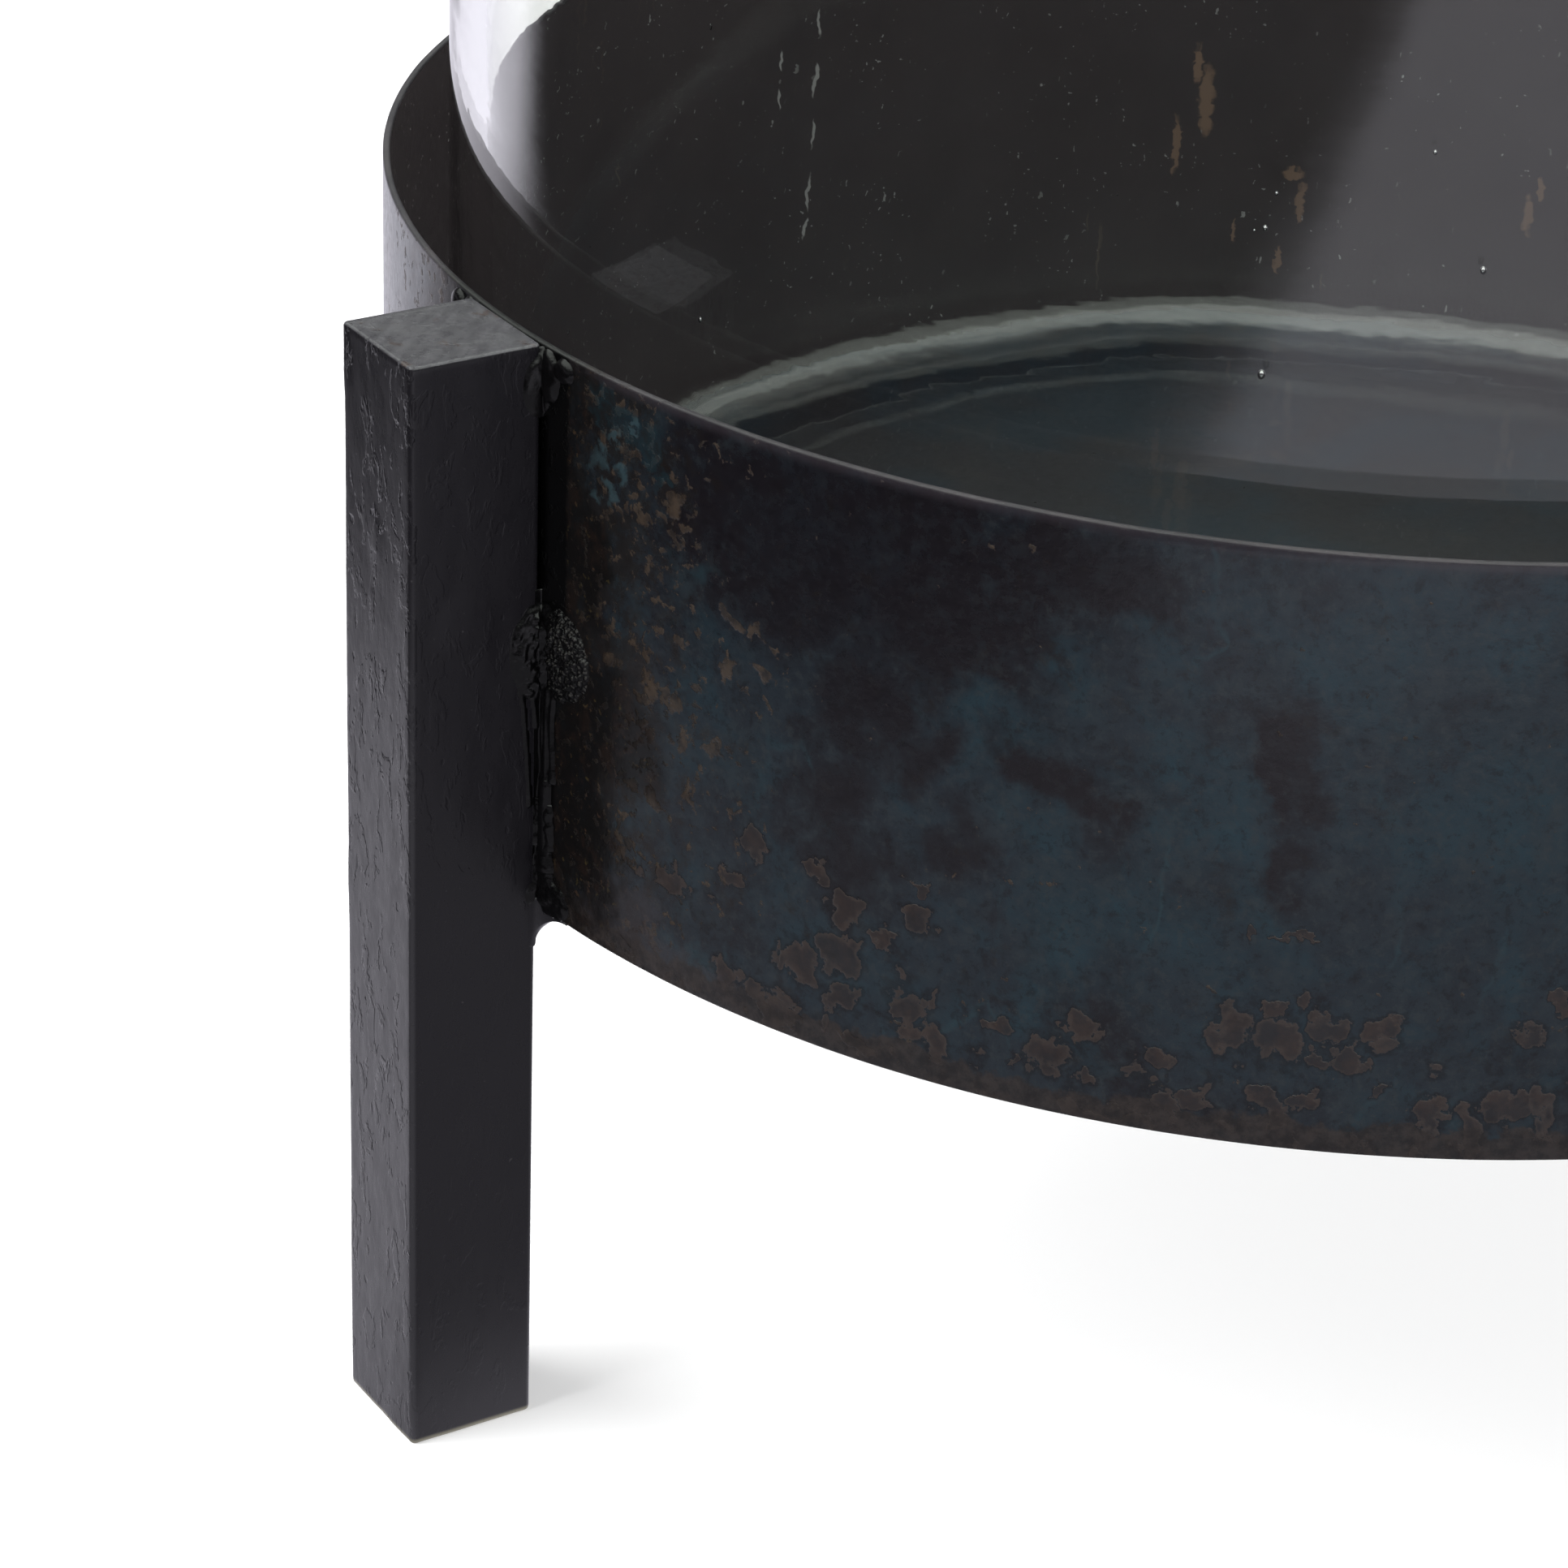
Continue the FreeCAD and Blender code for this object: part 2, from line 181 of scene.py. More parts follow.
def make_glass(material):
    """The vessel, turned finely and a little uneven as blown glass is."""
    outside, inside = HEEL_OUTSIDE, HEEL_INSIDE
    ring = GLASS_R - outside
    lip = GLASS_WALL / 2
    inner = GLASS_R - GLASS_WALL
    floor = FOOT_Z + GLASS_BASE
    profile = [(r * ring, FOOT_Z + PUNT * (1 - r ** 4)) for r in np.linspace(0.02, 0.86, 24)]
    profile = [(r, z if r < 0.8 * ring else FOOT_Z + (z - FOOT_Z) * 0.9) for r, z in profile]
    profile += line((ring * 0.9, FOOT_Z + 0.15 * MM), (ring * 0.93, FOOT_Z), 1 * MM)
    profile += line((ring * 0.93, FOOT_Z), (ring, FOOT_Z), 2 * MM)
    profile += arc((ring, FOOT_Z + outside), outside, -90, 0, 26)
    profile += line((GLASS_R, FOOT_Z + outside + 1 * MM), (GLASS_R, LIP_Z - lip), 2.4 * MM)
    profile += arc((GLASS_R - lip, LIP_Z - lip), lip, 0, 180, 14)
    profile += line((inner, LIP_Z - lip - 1 * MM), (inner, floor + inside), 2.4 * MM)
    profile += arc((inner - inside, floor + inside), inside, 0, -90, 22)
    profile += [(r * (inner - inside), floor) for r in np.linspace(0.98, 0.02, 36)]
    steps = 384
    grid = turned(profile, steps)
    rows = len(profile)
    flat = grid.reshape(-1, 3)
    half = rows // 2 * steps
    wave = np.concatenate([
        roughness(flat[:half], 55 * MM, 5) * 0.16 + roughness(flat[:half], 22 * MM, 6) * 0.03,
        roughness(flat[half:], 48 * MM, 7) * 0.20 + roughness(flat[half:], 18 * MM, 8) * 0.04,
    ]) * MM
    radius = np.linalg.norm(flat[:, :2], axis=1)
    flat[:, :2] *= (1 + wave / radius * np.clip(radius / GLASS_R, 0, 1) ** 4)[:, None]
    floor_like = np.clip(1 - (radius - 0.8 * GLASS_R) / (0.1 * GLASS_R), 0, 1)
    flat[half:, 2] += (wave * floor_like)[half:]
    poles = np.array([[0, 0, FOOT_Z + PUNT], [0, 0, floor]])
    points = np.concatenate([flat, poles])
    faces = grid_faces(rows, steps, wrap_columns=True)
    bottom, top = len(flat), len(flat) + 1
    last = (rows - 1) * steps
    for column in range(steps):
        following = (column + 1) % steps
        faces.append((bottom, following, column))
        faces.append((top, last + column, last + following))
    return mesh_piece("vessel_glass", points, faces, material, "vessel", ["glass_vessel"])


def make_seeds(material):
    """Small air bubbles in the vessel's wall and floor, their faces turned inwards."""
    count, rings, steps = 130, 5, 10
    around = np.arange(steps) * math.tau / steps
    ball = [(math.sin(a) * math.cos(b), math.sin(a) * math.sin(b), math.cos(a))
            for a in np.radians(np.linspace(30, 150, rings)) for b in around]
    top, last = len(ball), len(ball) - steps
    ball = np.array(ball + [(0, 0, 1), (0, 0, -1)])
    quads = grid_faces(rings, steps, wrap_columns=True)
    quads += [(top, (n + 1) % steps, n) for n in range(steps)]
    quads += [(top + 1, last + n, last + (n + 1) % steps) for n in range(steps)]
    middle = GLASS_R - GLASS_WALL / 2
    points, faces = [], []
    for n in range(count):
        chance = (roughness(np.array([[n * 7.3, k * 3.1, 5.5]]), 1.0, 61)[0] % 1 for k in range(4))
        turn, up, size, where = chance
        radius = (0.12 + 0.3 * size ** 3) * MM
        centre = np.array([middle * math.cos(turn * math.tau), middle * math.sin(turn * math.tau),
                           FOOT_Z + 14 * MM + up * (LIP_Z - FOOT_Z - 24 * MM)])
        if where < 0.25:
            centre[:2] *= up * 0.85
            centre[2] = FOOT_Z + 0.6 * GLASS_BASE
        start = len(ball) * n
        points.append(centre + ball * radius * [1, 1, 1.3])
        faces += [tuple(start + k for k in f) for f in quads]
    return mesh_piece("vessel_seeds", np.concatenate(points), faces, material, "vessel")


def bar_loop(side, rounding, spacing):
    """A rounded square about the origin, as (x, y, facing x, facing y) rows."""
    half = side / 2
    inner = half - rounding
    rows = []
    for quarter in range(4):
        turn = math.radians(90 * quarter)
        cos, sin = math.cos(turn), math.sin(turn)
        part = [(half, y, 1, 0) for y in np.linspace(-inner, inner, round(2 * inner / spacing) + 1)]
        for angle in np.radians(np.linspace(0, 90, 7)[1:-1]):
            c, s = math.cos(angle), math.sin(angle)
            part.append((inner + rounding * c, inner + rounding * s, c, s))
        rows += [
            (x * cos - y * sin, x * sin + y * cos, u * cos - v * sin, u * sin + v * cos)
            for x, y, u, v in part
        ]
    return np.array(rows)


def to_leg(points, angle):
    """Points of a leg's own frame, +X outwards through it, turned to its place round the pan."""
    turn = np.array(Matrix.Rotation(math.radians(angle), 3, "Z"))
    return points @ turn.T


def make_leg(place, material):
    """A square bar under thick satin paint, sawn off and ground at the top."""
    angle = LEG_ANGLES[place]
    seed = 20 + sorted(LEG_ANGLES).index(place) * 7
    spacing = 0.55 * MM
    loop = bar_loop(BAR, 0.75 * MM, spacing)
    count = len(loop)
    foot, top, worn = 0.5 * MM, 0.35 * MM, 0.06
    rings = [(foot * (1 - math.sin(a)), foot * (1 - math.cos(a))) for a in np.radians([90, 60, 30])]
    rings += [(z, 0.0) for z in np.linspace(foot, RIM_Z - top, round(RIM_Z / spacing))]
    rings += [(RIM_Z - top + top * math.sin(a), top * (1 - math.cos(a)))
              for a in np.radians([30, 60, 90])]
    flat = np.concatenate([
        np.column_stack([loop[:, :2] - inset * loop[:, 2:], np.full(count, z)]) for z, inset in rings
    ])
    facing = np.tile(np.column_stack([loop[:, 2:], np.zeros(count)]), (len(rings), 1))
    centre = np.array([PAN_R + BAR / 2, 0, 0])
    world = to_leg(flat + centre, angle)
    paint = 0.035 * roughness(world * [1, 1, 0.4], 2.2 * MM, seed, 2)
    paint += 0.10 * roughness(world, 26 * MM, seed + 1)
    paint += 0.22 * np.clip(roughness(world * [1, 1, 0.6], 5 * MM, seed + 2) - 0.45, 0, 1)
    inner = np.clip(-facing[:, 0], 0, 1)
    flat = flat + facing * ((paint - 0.10) * MM * (1 - inner))[:, None]
    faces = grid_faces(len(rings), count, wrap_columns=True)
    points = [flat]
    for previous, z, upward in ((0, 0.0, False), ((len(rings) - 1) * count, RIM_Z, True)):
        ring = flat[previous:previous + count]
        for share in np.linspace(1, 0, 14)[1:-1]:
            start = sum(len(p) for p in points)
            cap = ring * [share, share, 1]
            height = 0.05 * roughness(to_leg(cap + centre, angle) * [0.5, 1, 1], 3 * MM, seed + 3, 2)
            cap[:, 2] = z - (worn + np.clip(height, -worn, worn)) * MM * upward
            points.append(cap)
            for n in range(count):
                m = (n + 1) % count
                quad = (previous + n, previous + m, start + m, start + n)
                faces.append(quad if upward else quad[::-1])
            previous = start
        start = sum(len(p) for p in points)
        points.append(np.array([[0, 0, z - worn * MM * upward]]))
        for n in range(count):
            fan = (previous + n, previous + (n + 1) % count, start)
            faces.append(fan if upward else fan[::-1])
    flat = to_leg(np.concatenate(points) + centre, angle)
    return mesh_piece(f"bar_{place}", flat, faces, material, "stand",
                      [f"leg_{place}"])


# ---------------------------------------------------------------- welds

# The welds' shapes are drawn over (a, h): a is the distance from the corner, along the band or,
# below zero, out over the bar's side, and h is the height above the table. Their own sizes and
# places are in millimetres.

def corner_skin(across, heights, thickness, side):
    """A closed skin laid over the corner between a bar's side and the band.

    across runs from the bar's side (negative) through the corner to the band (positive), and
    thickness is the coat's at each (height, across), below zero where there is none.
    """
    start = math.asin(BAR / 2 / PAN_R)
    turn = start + np.clip(across, 0, None) / PAN_R
    corner_x = PAN_R * math.cos(start)
    on_bar = across < 0
    x = np.where(on_bar, corner_x - across, PAN_R * np.cos(turn))
    y = np.where(on_bar, BAR / 2, PAN_R * np.sin(turn))
    share = np.clip(across / (1.2 * MM) / 2 + 0.5, 0, 1)
    share = share * share * (3 - 2 * share)
    facing = np.column_stack([share * np.cos(turn), 1 - share + share * np.sin(turn)])
    facing /= np.linalg.norm(facing, axis=1)[:, None]
    sheets = []
    for depth in (thickness, np.full_like(thickness, -1.4 * SUNK)):
        grid = np.empty(thickness.shape + (3,))
        grid[..., 0] = x + depth * facing[:, 0]
        grid[..., 1] = side * (y + depth * facing[:, 1])
        grid[..., 2] = heights[:, None]
        sheets.append(grid.reshape(-1, 3))
    rows, columns = thickness.shape
    shift = rows * columns
    upper = grid_faces(rows, columns)
    lower = [f[::-1] for f in grid_faces(rows, columns, first=shift)]
    border = list(range(columns)) + [r * columns + columns - 1 for r in range(1, rows)]
    border += [(rows - 1) * columns + c for c in range(columns - 2, -1, -1)]
    border += [r * columns for r in range(rows - 2, 0, -1)]
    wall = [(b, a, a + shift, b + shift) for a, b in zip(border, border[1:] + border[:1])]
    faces = upper + lower + wall
    if side < 0:
        faces = [f[::-1] for f in faces]
    return np.concatenate(sheets), faces


def lump(far, thick):
    """Thickness of a rounded lump at a distance that is 1 at its edge; it sinks away outside."""
    return thick * np.sqrt(np.clip(1 - far * far, 0, None)) - SUNK * np.clip(4 * (far - 1), 0, 1)


def dome(a, h, centre, reach, thick):
    """Thickness of an oval lump, its centre and reach given as (a, h)."""
    far = np.hypot((a / MM - centre[0]) / reach[0], (h / MM - centre[1]) / reach[1])
    return lump(far, thick * MM)


def run(a, h, path, wide, thick):
    """Thickness of a drip of paint that follows a path of (a, h) points."""
    places = np.array(path) * MM
    order = places[:, 1].argsort()
    line_at = np.interp(h, places[order, 1], places[order, 0])
    low, high = places[:, 1].min(), places[:, 1].max()
    past = np.clip(low - h, 0, None) + np.clip(h - high, 0, None)
    bead = 1 + 0.5 * np.exp(-((h - low) / (1.2 * MM)) ** 2)
    return lump(np.hypot(a - line_at, past) / (wide / 2 * MM * bead), thick * MM * bead)


def skin_grid(reach, spread, low, high):
    """Columns and rows of a corner skin, and their height and across as two full grids."""
    spacing = 0.22 * MM
    across = np.linspace(-reach, spread, round((reach + spread) / spacing))
    heights = np.linspace(low, high, round((high - low) / spacing))
    return across, heights, *np.meshgrid(heights, across, indexing="ij")


def pebbles(across, heights, size, seed):
    """Rounded bumps like blistered paint, from 0 to 1."""
    shape = across.shape
    points = np.column_stack([across.ravel(), heights.ravel(), np.full(across.size, seed * MM)])
    return np.abs(roughness(points, size, seed, 2)).reshape(shape)


def pair(kind, place, material, shape, box):
    """The same kind of weld on both sides of a leg, each with its own random bumps."""
    angle = LEG_ANGLES[place]
    seed = 50 + sorted(LEG_ANGLES).index(place) * 5
    points, faces = [], []
    for side in (-1, 1):
        across, heights, h, a = skin_grid(*box)
        thickness = np.clip(shape(a, h, seed + side), -SUNK, None)
        made, quads = corner_skin(across, heights, thickness, side)
        start = sum(len(p) for p in points)
        points.append(made)
        faces += [tuple(start + n for n in f) for f in quads]
    flat = to_leg(np.concatenate(points), angle)
    return mesh_piece(f"{kind}_metal_{place}", flat, faces, material, "stand",
                      [f"{kind}s_{place}"])


SIDE_RUNS = (  # the path, width and thickness of each run
    (((-2.6, 91), (-2.0, 88), (-1.5, 82), (-1.2, 76.5)), 0.6, 0.16),
    (((-1.5, 91), (-0.9, 89), (-0.4, 85.5)), 0.55, 0.16),
    (((0.5, 91), (0.4, 84), (0.6, 78.5)), 0.7, 0.3),
    (((2.4, 91), (2.1, 86), (2.4, 80)), 0.7, 0.35),
    (((1.4, 90), (1.2, 84), (1.3, 77)), 0.8, 0.4),
    (((1.0, 79), (0.9, 74), (1.1, 69.5)), 2.2, 0.7),
)


def side_weld_shape(a, h, seed):
    """The blistered weld halfway up a leg's side, and the paint that ran down from it."""
    middle = 94
    ragged = 0.5 * MM * (pebbles(a, h, 2.6 * MM, seed + 3) * 2 - 0.6)
    pad = dome(a, h + ragged, (-0.2, middle), (3.3, 5.4), 1.1)
    fan = dome(a + ragged, h - ragged, (3.4, middle + 0.8), (4.6, 5.1), 1.0)
    hump = np.maximum(pad, fan)
    on = np.clip(hump / (0.5 * MM), 0, 1)
    coarse = pebbles(a, h * 0.7, 0.9 * MM, seed)
    fine = pebbles(a, h, 0.55 * MM, seed + 9)
    share = np.clip((a - 0.8 * MM) / (1.2 * MM), 0, 1)
    grain = (coarse * 0.75 * (1 - share) + fine * 0.75 * share) * MM
    hump = hump + on * (grain - 0.25 * MM)
    crease = dome(a, h, (1.5, middle - 1.5), (0.7, 4.6), 1.0)
    hump = hump - np.clip(crease, 0, None)
    rim = np.hypot((a / MM + 0.2) / 3.4, ((h + ragged) / MM - middle) / 5.5)
    border = 0.42 * MM * np.exp(-((rim - 0.93) / 0.07) ** 2) * (a < 0.4 * MM) - 0.1 * MM
    return np.maximum.reduce([hump, border] + [run(a, h, *drip) for drip in SIDE_RUNS])


def rim_tack_shape(a, h, seed):
    """The small smooth tack just under the rim, its coat smeared out over the bar."""
    smear = dome(a, h, (-0.5, 123.5), (1.7, 3.0), 0.5)
    right = dome(a, h, (3.6, 126.2), (1.5, 1.3), 0.7)
    corner = dome(a, h, (0.8, 124.8), (1.9, 2.8), 0.9)
    hump = np.maximum.reduce([smear, right, corner])
    return hump + np.clip(hump / MM, 0, 1) * (pebbles(a, h, 2.6 * MM, seed) - 0.2) * 0.12 * MM


def corner_weld_shape(a, h, seed):
    """The glossy drop of paint and weld that fills the corner down to the band's lower edge."""
    ragged = 0.5 * MM * (pebbles(a, h, 2.2 * MM, seed + 3) * 2 - 0.6)
    drop = run(a + ragged, h, ((0.8, 76), (0.9, 70), (1.2, 66)), 3.0, 0.6)
    toe = dome(a, h + ragged, (2.0, 65.6), (3.4, 2.2), 0.6)
    hump = np.maximum(drop, toe)
    return hump + np.clip(hump / MM, 0, 1) * (pebbles(a, h * 0.6, 0.9 * MM, seed) - 0.2) * 0.6 * MM


def make_web(place, material):
    """The coat's thin web under the band's lower edge, in the corner with each side of the bar."""
    long, deep, above = 5.6 * MM, 4.8 * MM, 1.6 * MM
    shares = np.concatenate([[0], np.linspace(0, 0.97, 26) ** 2])
    loop = np.radians(np.arange(16) * 22.5)
    across, up = (np.sign(wave) * np.abs(wave) ** 0.4 for wave in (np.cos(loop), np.sin(loop)))
    points, faces = [], []
    for side in (-1, 1):
        first = (side > 0) * len(shares) * len(loop)
        for row, share in enumerate(shares):
            hang = deep * (1 - math.sqrt(1 - (1 - share) ** 2))
            inner = PAN_R + (0.2 - 0.7 * min(4 * share, 1)) * MM
            outer = PAN_R + 0.25 * MM * (1 - share) + 0.9 * MM * (1 - share) ** 4
            radius = (inner + outer) / 2 + (outer - inner) / 2 * across
            beside = BAR / 2 + (share * long - 0.08 * MM if row else -0.4 * MM)
            height = EDGE_Z + (above * (1 - share) - hang + (above * (1 - share) + hang) * up) / 2
            points.append(np.column_stack([
                np.sqrt(radius ** 2 - beside ** 2), np.full(len(loop), side * beside), height
            ]))
        quads = grid_faces(len(shares), len(loop), wrap_columns=True, first=first)
        ring = tuple(range(first, first + len(loop)))
        quads += [ring[::-1], tuple(n + (len(shares) - 1) * len(loop) for n in ring)]
        faces += quads if side < 0 else [f[::-1] for f in quads]
    flat = to_leg(np.concatenate(points), LEG_ANGLES[place])
    return mesh_piece(f"corner_web_{place}", flat, faces, material, "stand")


def make_welds(place, material, paint):
    """All the welds of one leg, with the coat that ran over them."""
    pair("rim_tack", place, material, rim_tack_shape,
         (3.4 * MM, 6 * MM, RIM_Z - 8 * MM, RIM_Z - 0.3 * MM))
    pair("side_weld", place, material, side_weld_shape,
         (5 * MM, 9 * MM, EDGE_Z + 5 * MM, RIM_Z - 27 * MM))
    pair("corner_weld", place, material, corner_weld_shape,
         (3 * MM, 6.4 * MM, EDGE_Z + 0.2 * MM, EDGE_Z + 13 * MM))
    make_web(place, paint)


# ---------------------------------------------------------------- materials

def srgb(*channels):
    """The linear colour of an 8-bit sRGB one."""
    return tuple(((c / 255 + 0.055) / 1.055) ** 2.4 for c in channels) + (1.0,)


class Surface:
    """A material whose look comes from nodes, with short calls for the nodes it needs.

    Sizes and reaches of noise, wobble and cells are in millimetres, and all else in metres.
    """

    def __init__(self, name, **settings):
        self.material = bpy.data.materials.new(name)
        self.material.use_nodes = True
        self.nodes = self.material.node_tree.nodes
        self.links = self.material.node_tree.links
        self.shader = self.nodes["Principled BSDF"]
        self.place = self.add("TexCoord", out="Object")
        self.set(**settings)

    def feed(self, socket, value):
        if isinstance(value, bpy.types.NodeSocket):
            self.links.new(value, socket)
        else:
            socket.default_value = value

    def add(self, kind, sockets=(), out=0, **settings):
        """One output of a new node whose sockets are fed in order, or by name or number."""
        node = self.nodes.new("ShaderNode" + kind)
        for name, value in settings.items():
            setattr(node, name, value)
        for socket, value in sockets.items() if isinstance(sockets, dict) else enumerate(sockets):
            self.feed(node.inputs[socket], value)
        return node.outputs[out]

    def set(self, **values):
        for socket, value in values.items():
            self.feed(self.shader.inputs[socket.replace("_", " ")], value)
        return self.material

    def swap(self, share, shader):
        """Shows another shader in place of the surface's own, by a share from 0 to 1."""
        both = self.add("MixShader", (share, self.shader.outputs[0], shader))
        self.feed(self.nodes["Material Output"].inputs["Surface"], both)
        return self.material

    def axis(self, name):
        return self.add("SeparateXYZ", (self.place,), name)

    def ray(self, name):
        return self.add("LightPath", out=name)

    def math(self, kind, *values):
        return self.add("Math", values, operation=kind)

    def times(self, value, factor, *plus):
        """value * factor, plus a third value if there is one."""
        return self.math("MULTIPLY_ADD" if plus else "MULTIPLY", value, factor, *plus)

    def vector(self, kind, *values, out="Vector"):
        return self.add("VectorMath", values, out, operation=kind)

    def clamp(self, value):
        return self.add("Clamp", (value,))

    def step(self, value, low, high, to=(0.0, 1.0)):
        """A smooth step of value from low to high, which may run downwards."""
        return self.add("MapRange", (value, low, high, *to), interpolation_type="SMOOTHSTEP")

    def mix(self, share, under, over, kind="MIX"):
        return self.add("Mix", {0: share, 6: under, 7: over}, 2, data_type="RGBA", blend_type=kind)

    def blend(self, share, under, over):
        return self.add("Mix", {0: share, 2: under, 3: over}, data_type="FLOAT")

    def bump(self, height, depth):
        """A bump whose full height is depth metres."""
        return self.add("Bump", {"Strength": 1.0, "Distance": depth, "Height": height})

    def mapped(self, place, stretch, shift=(0, 0, 0)):
        """A place stretched, then shifted."""
        return self.add("Mapping", {"Vector": place, "Scale": stretch, "Location": shift})

    def noise(self, size, detail, rough, bend=0.0, stretch=(1, 1, 1), shift=(0, 0, 0), out="Fac"):
        """Noise from 0 to 1 whose patches are about size millimetres across."""
        return self.add("TexNoise", {
            "Vector": self.mapped(self.place, stretch, shift), "Scale": 1 / (size * MM),
            "Detail": detail, "Roughness": rough, "Distortion": bend,
        }, out)

    def wobble(self, place, size, reach):
        """A place shifted about by up to reach, which makes what is drawn there ragged."""
        shift = self.noise(size, 4, 0.55, out="Color")
        reach = reach * MM
        centred = self.vector("MULTIPLY_ADD", shift, (2 * reach,) * 3, (-reach,) * 3)
        return self.vector("ADD", place, centred)

    def cells(self, size, reach, feature="F1", stretch=(1, 1, 1)):
        """Distance to the nearest of scattered points, or edge between them, per size in mm."""
        place = self.mapped(self.wobble(self.place, size, reach), stretch)
        return self.add("TexVoronoi", {"Vector": place, "Scale": 1 / (size * MM)}, "Distance",
                        feature=feature)

    def marks(self, place, table):
        """How deep a place lies in the nearest oval mark: 1 at its middle, 0 at its edge."""
        nearest = None
        for x, y, wide, high in table:
            shift = (-x / wide, -y / high, 0)
            moved = self.vector("MULTIPLY_ADD", place, (1 / (wide * MM), 1 / (high * MM), 0), shift)
            far = self.vector("LENGTH", moved, out="Value")
            nearest = far if nearest is None else self.math("MINIMUM", nearest, far)
        return self.math("SUBTRACT", 1.0, nearest)


# Marks on the band where the photograph shows them, outside it or, where named WALL, inside it.
# Each is in millimetres: along the band from the front left leg's side, height above the table,
# half its width and half its height.
CRUST_PLATES = (
    (84.4, 76.5, 1.7, 2.9), (88.9, 75.9, 2.7, 2.5), (87.9, 79.4, 0.8, 1.1), (91.1, 80.6, 1.5, 1.1),
    (93.8, 78, 1.7, 1.7), (93.5, 74.4, 1.4, 1.3), (96.2, 74.6, 1.5, 1.1), (99.4, 71.4, 0.9, 1.3),
    (99.5, 78.4, 1.8, 1.6), (88.1, 69.4, 2.1, 1.3), (92, 69.7, 1.6, 1.2), (110.8, 70, 1.4, 2.4),
    (112.6, 70, 1.3, 1.6), (112.8, 78.2, 1.4, 1.5), (104.2, 69.1, 1.5, 2), (66.3, 70.4, 2, 2),
    (69.4, 74.2, 1.4, 2.3), (77.3, 72.2, 1.5, 1.2), (78.6, 67.5, 1.5, 1.5), (81.6, 68.3, 1.7, 1.2),
    (70.4, 68.5, 1.3, 1.1), (52.3, 81.4, 1.6, 1.9), (43.8, 80.8, 1.9, 2.3), (43.6, 75.6, 2.5, 2.3),
    (39, 73.1, 2.3, 2.7), (40.2, 84.1, 1.7, 1.3), (43.8, 70.3, 2.2, 1.7), (63.1, 69.9, 0.9, 0.7),
    (51.7, 85.8, 1.4, 0.5), (47.7, 79.1, 1.5, 1.2), (61.6, 72.5, 1.3, 1.3), (116, 81.8, 0.7, 1.3),
    (84.7, 87.6, 0.6, 0.7), (89.9, 87.6, 2.1, 0.5), (21.8, 76.3, 2.2, 1.4), (32.2, 84.3, 1.4, 1.8),
    (29.8, 79.7, 1.9, 1.2),
)
TAN_FLECKS = (
    (11.8, 97.8, 1.8, 1.4), (17.3, 100, 0.6, 1.3), (17.8, 96.6, 1.2, 1.4), (21.2, 96.4, 1.7, 1.1),
    (16.3, 92.7, 0.9, 0.6), (22.4, 92.3, 0.9, 0.9), (26.5, 92.7, 1.3, 1.3), (29.6, 92.7, 0.6, 0.8),
    (18.8, 84.4, 1.3, 1.5), (23.6, 85.8, 1.5, 0.6), (29.9, 86.9, 0.6, 0.8), (27.4, 84.4, 0.4, 0.5),
    (28.8, 102.4, 0.9, 1.2), (33, 102.6, 1.3, 1.2), (33.5, 99.6, 0.7, 0.7), (29, 107.7, 1.3, 0.9),
    (31.5, 106.7, 1.3, 0.9), (22, 103.3, 1.1, 0.7), (14.5, 76.2, 0.7, 1.4), (19.7, 89.6, 0.6, 0.5),
    (34.2, 106.3, 0.9, 0.6), (24.2, 105.6, 0.6, 0.6), (14.9, 116, 0.9, 0.8), (16.5, 114.7, 0.8, 0.7),
    (19.2, 115.7, 0.9, 0.8), (20.8, 117.7, 1.8, 1.2), (22.8, 116.1, 0.9, 0.7), (20.9, 113.7, 1.4, 0.8),
    (15.7, 118.4, 0.8, 0.8), (20.1, 120.7, 0.5, 0.5), (14.1, 114.5, 0.8, 0.6),
)
TEAL_BEADS = (
    (11.9, 122.4, 1, 0.6), (9.4, 118.8, 1.3, 1.1), (12.7, 118.7, 0.9, 0.9), (11.2, 116, 0.8, 0.8),
    (8.8, 115.3, 0.8, 0.7), (10, 120.4, 0.5, 0.6), (15.2, 124.4, 1, 0.4),
)
TEAL_PATCH = (
    (8.7, 126.6, 1.5, 1.4), (10.6, 125, 1.6, 1.6), (12.4, 124.1, 2.6, 1.2), (15.4, 123.4, 3, 2.1),
    (16.4, 121.7, 2.1, 1.4), (18.4, 120, 1.7, 1), (9.4, 123, 1.6, 1.1),
)
TEAL_CLOUDS = (
    (49.9, 95.6, 4, 4), (53.3, 90.3, 3, 3), (66.6, 93.9, 5, 6), (70.3, 87.6, 8, 7),
    (77.8, 83.7, 8, 6), (59.4, 104.5, 4, 9), (56.6, 108.2, 3, 6), (66.4, 110.4, 4, 4),
    (94.7, 115.3, 10, 8),
    (106.4, 119.3, 8, 7), (81.4, 100.1, 7, 8), (62.7, 76, 5, 3), (49.5, 75.2, 5, 4),
    (108, 102.4, 9, 10), (73.8, 119.3, 5, 4), (112.2, 84.1, 3, 8), (87.5, 90.4, 4, 9),
)
VIOLET_CLOUDS = (
    (51, 100.3, 4, 5), (64.6, 100.1, 5, 4), (44.5, 103.3, 5, 7), (52, 114.8, 11, 8),
    (38.4, 115.5, 11, 9), (89.6, 93.8, 2.5, 5), (28.3, 118.5, 11, 8), (66.5, 123, 12, 5),
    (55.9, 90.5, 4, 4), (69.6, 98.1, 5, 3), (45, 124, 15, 6), (41.3, 92.6, 5, 5),
    (45.4, 84.9, 6, 5), (87.9, 105.3, 3, 5),
)
# Ovals low on the band where a lighter colour is painted on as sheen.
LOW_PAINTED_SHEEN = ((12, 67.5, 7, 3), (20, 66.5, 7, 3), (15, 71, 5, 3), (27, 66, 5, 2))
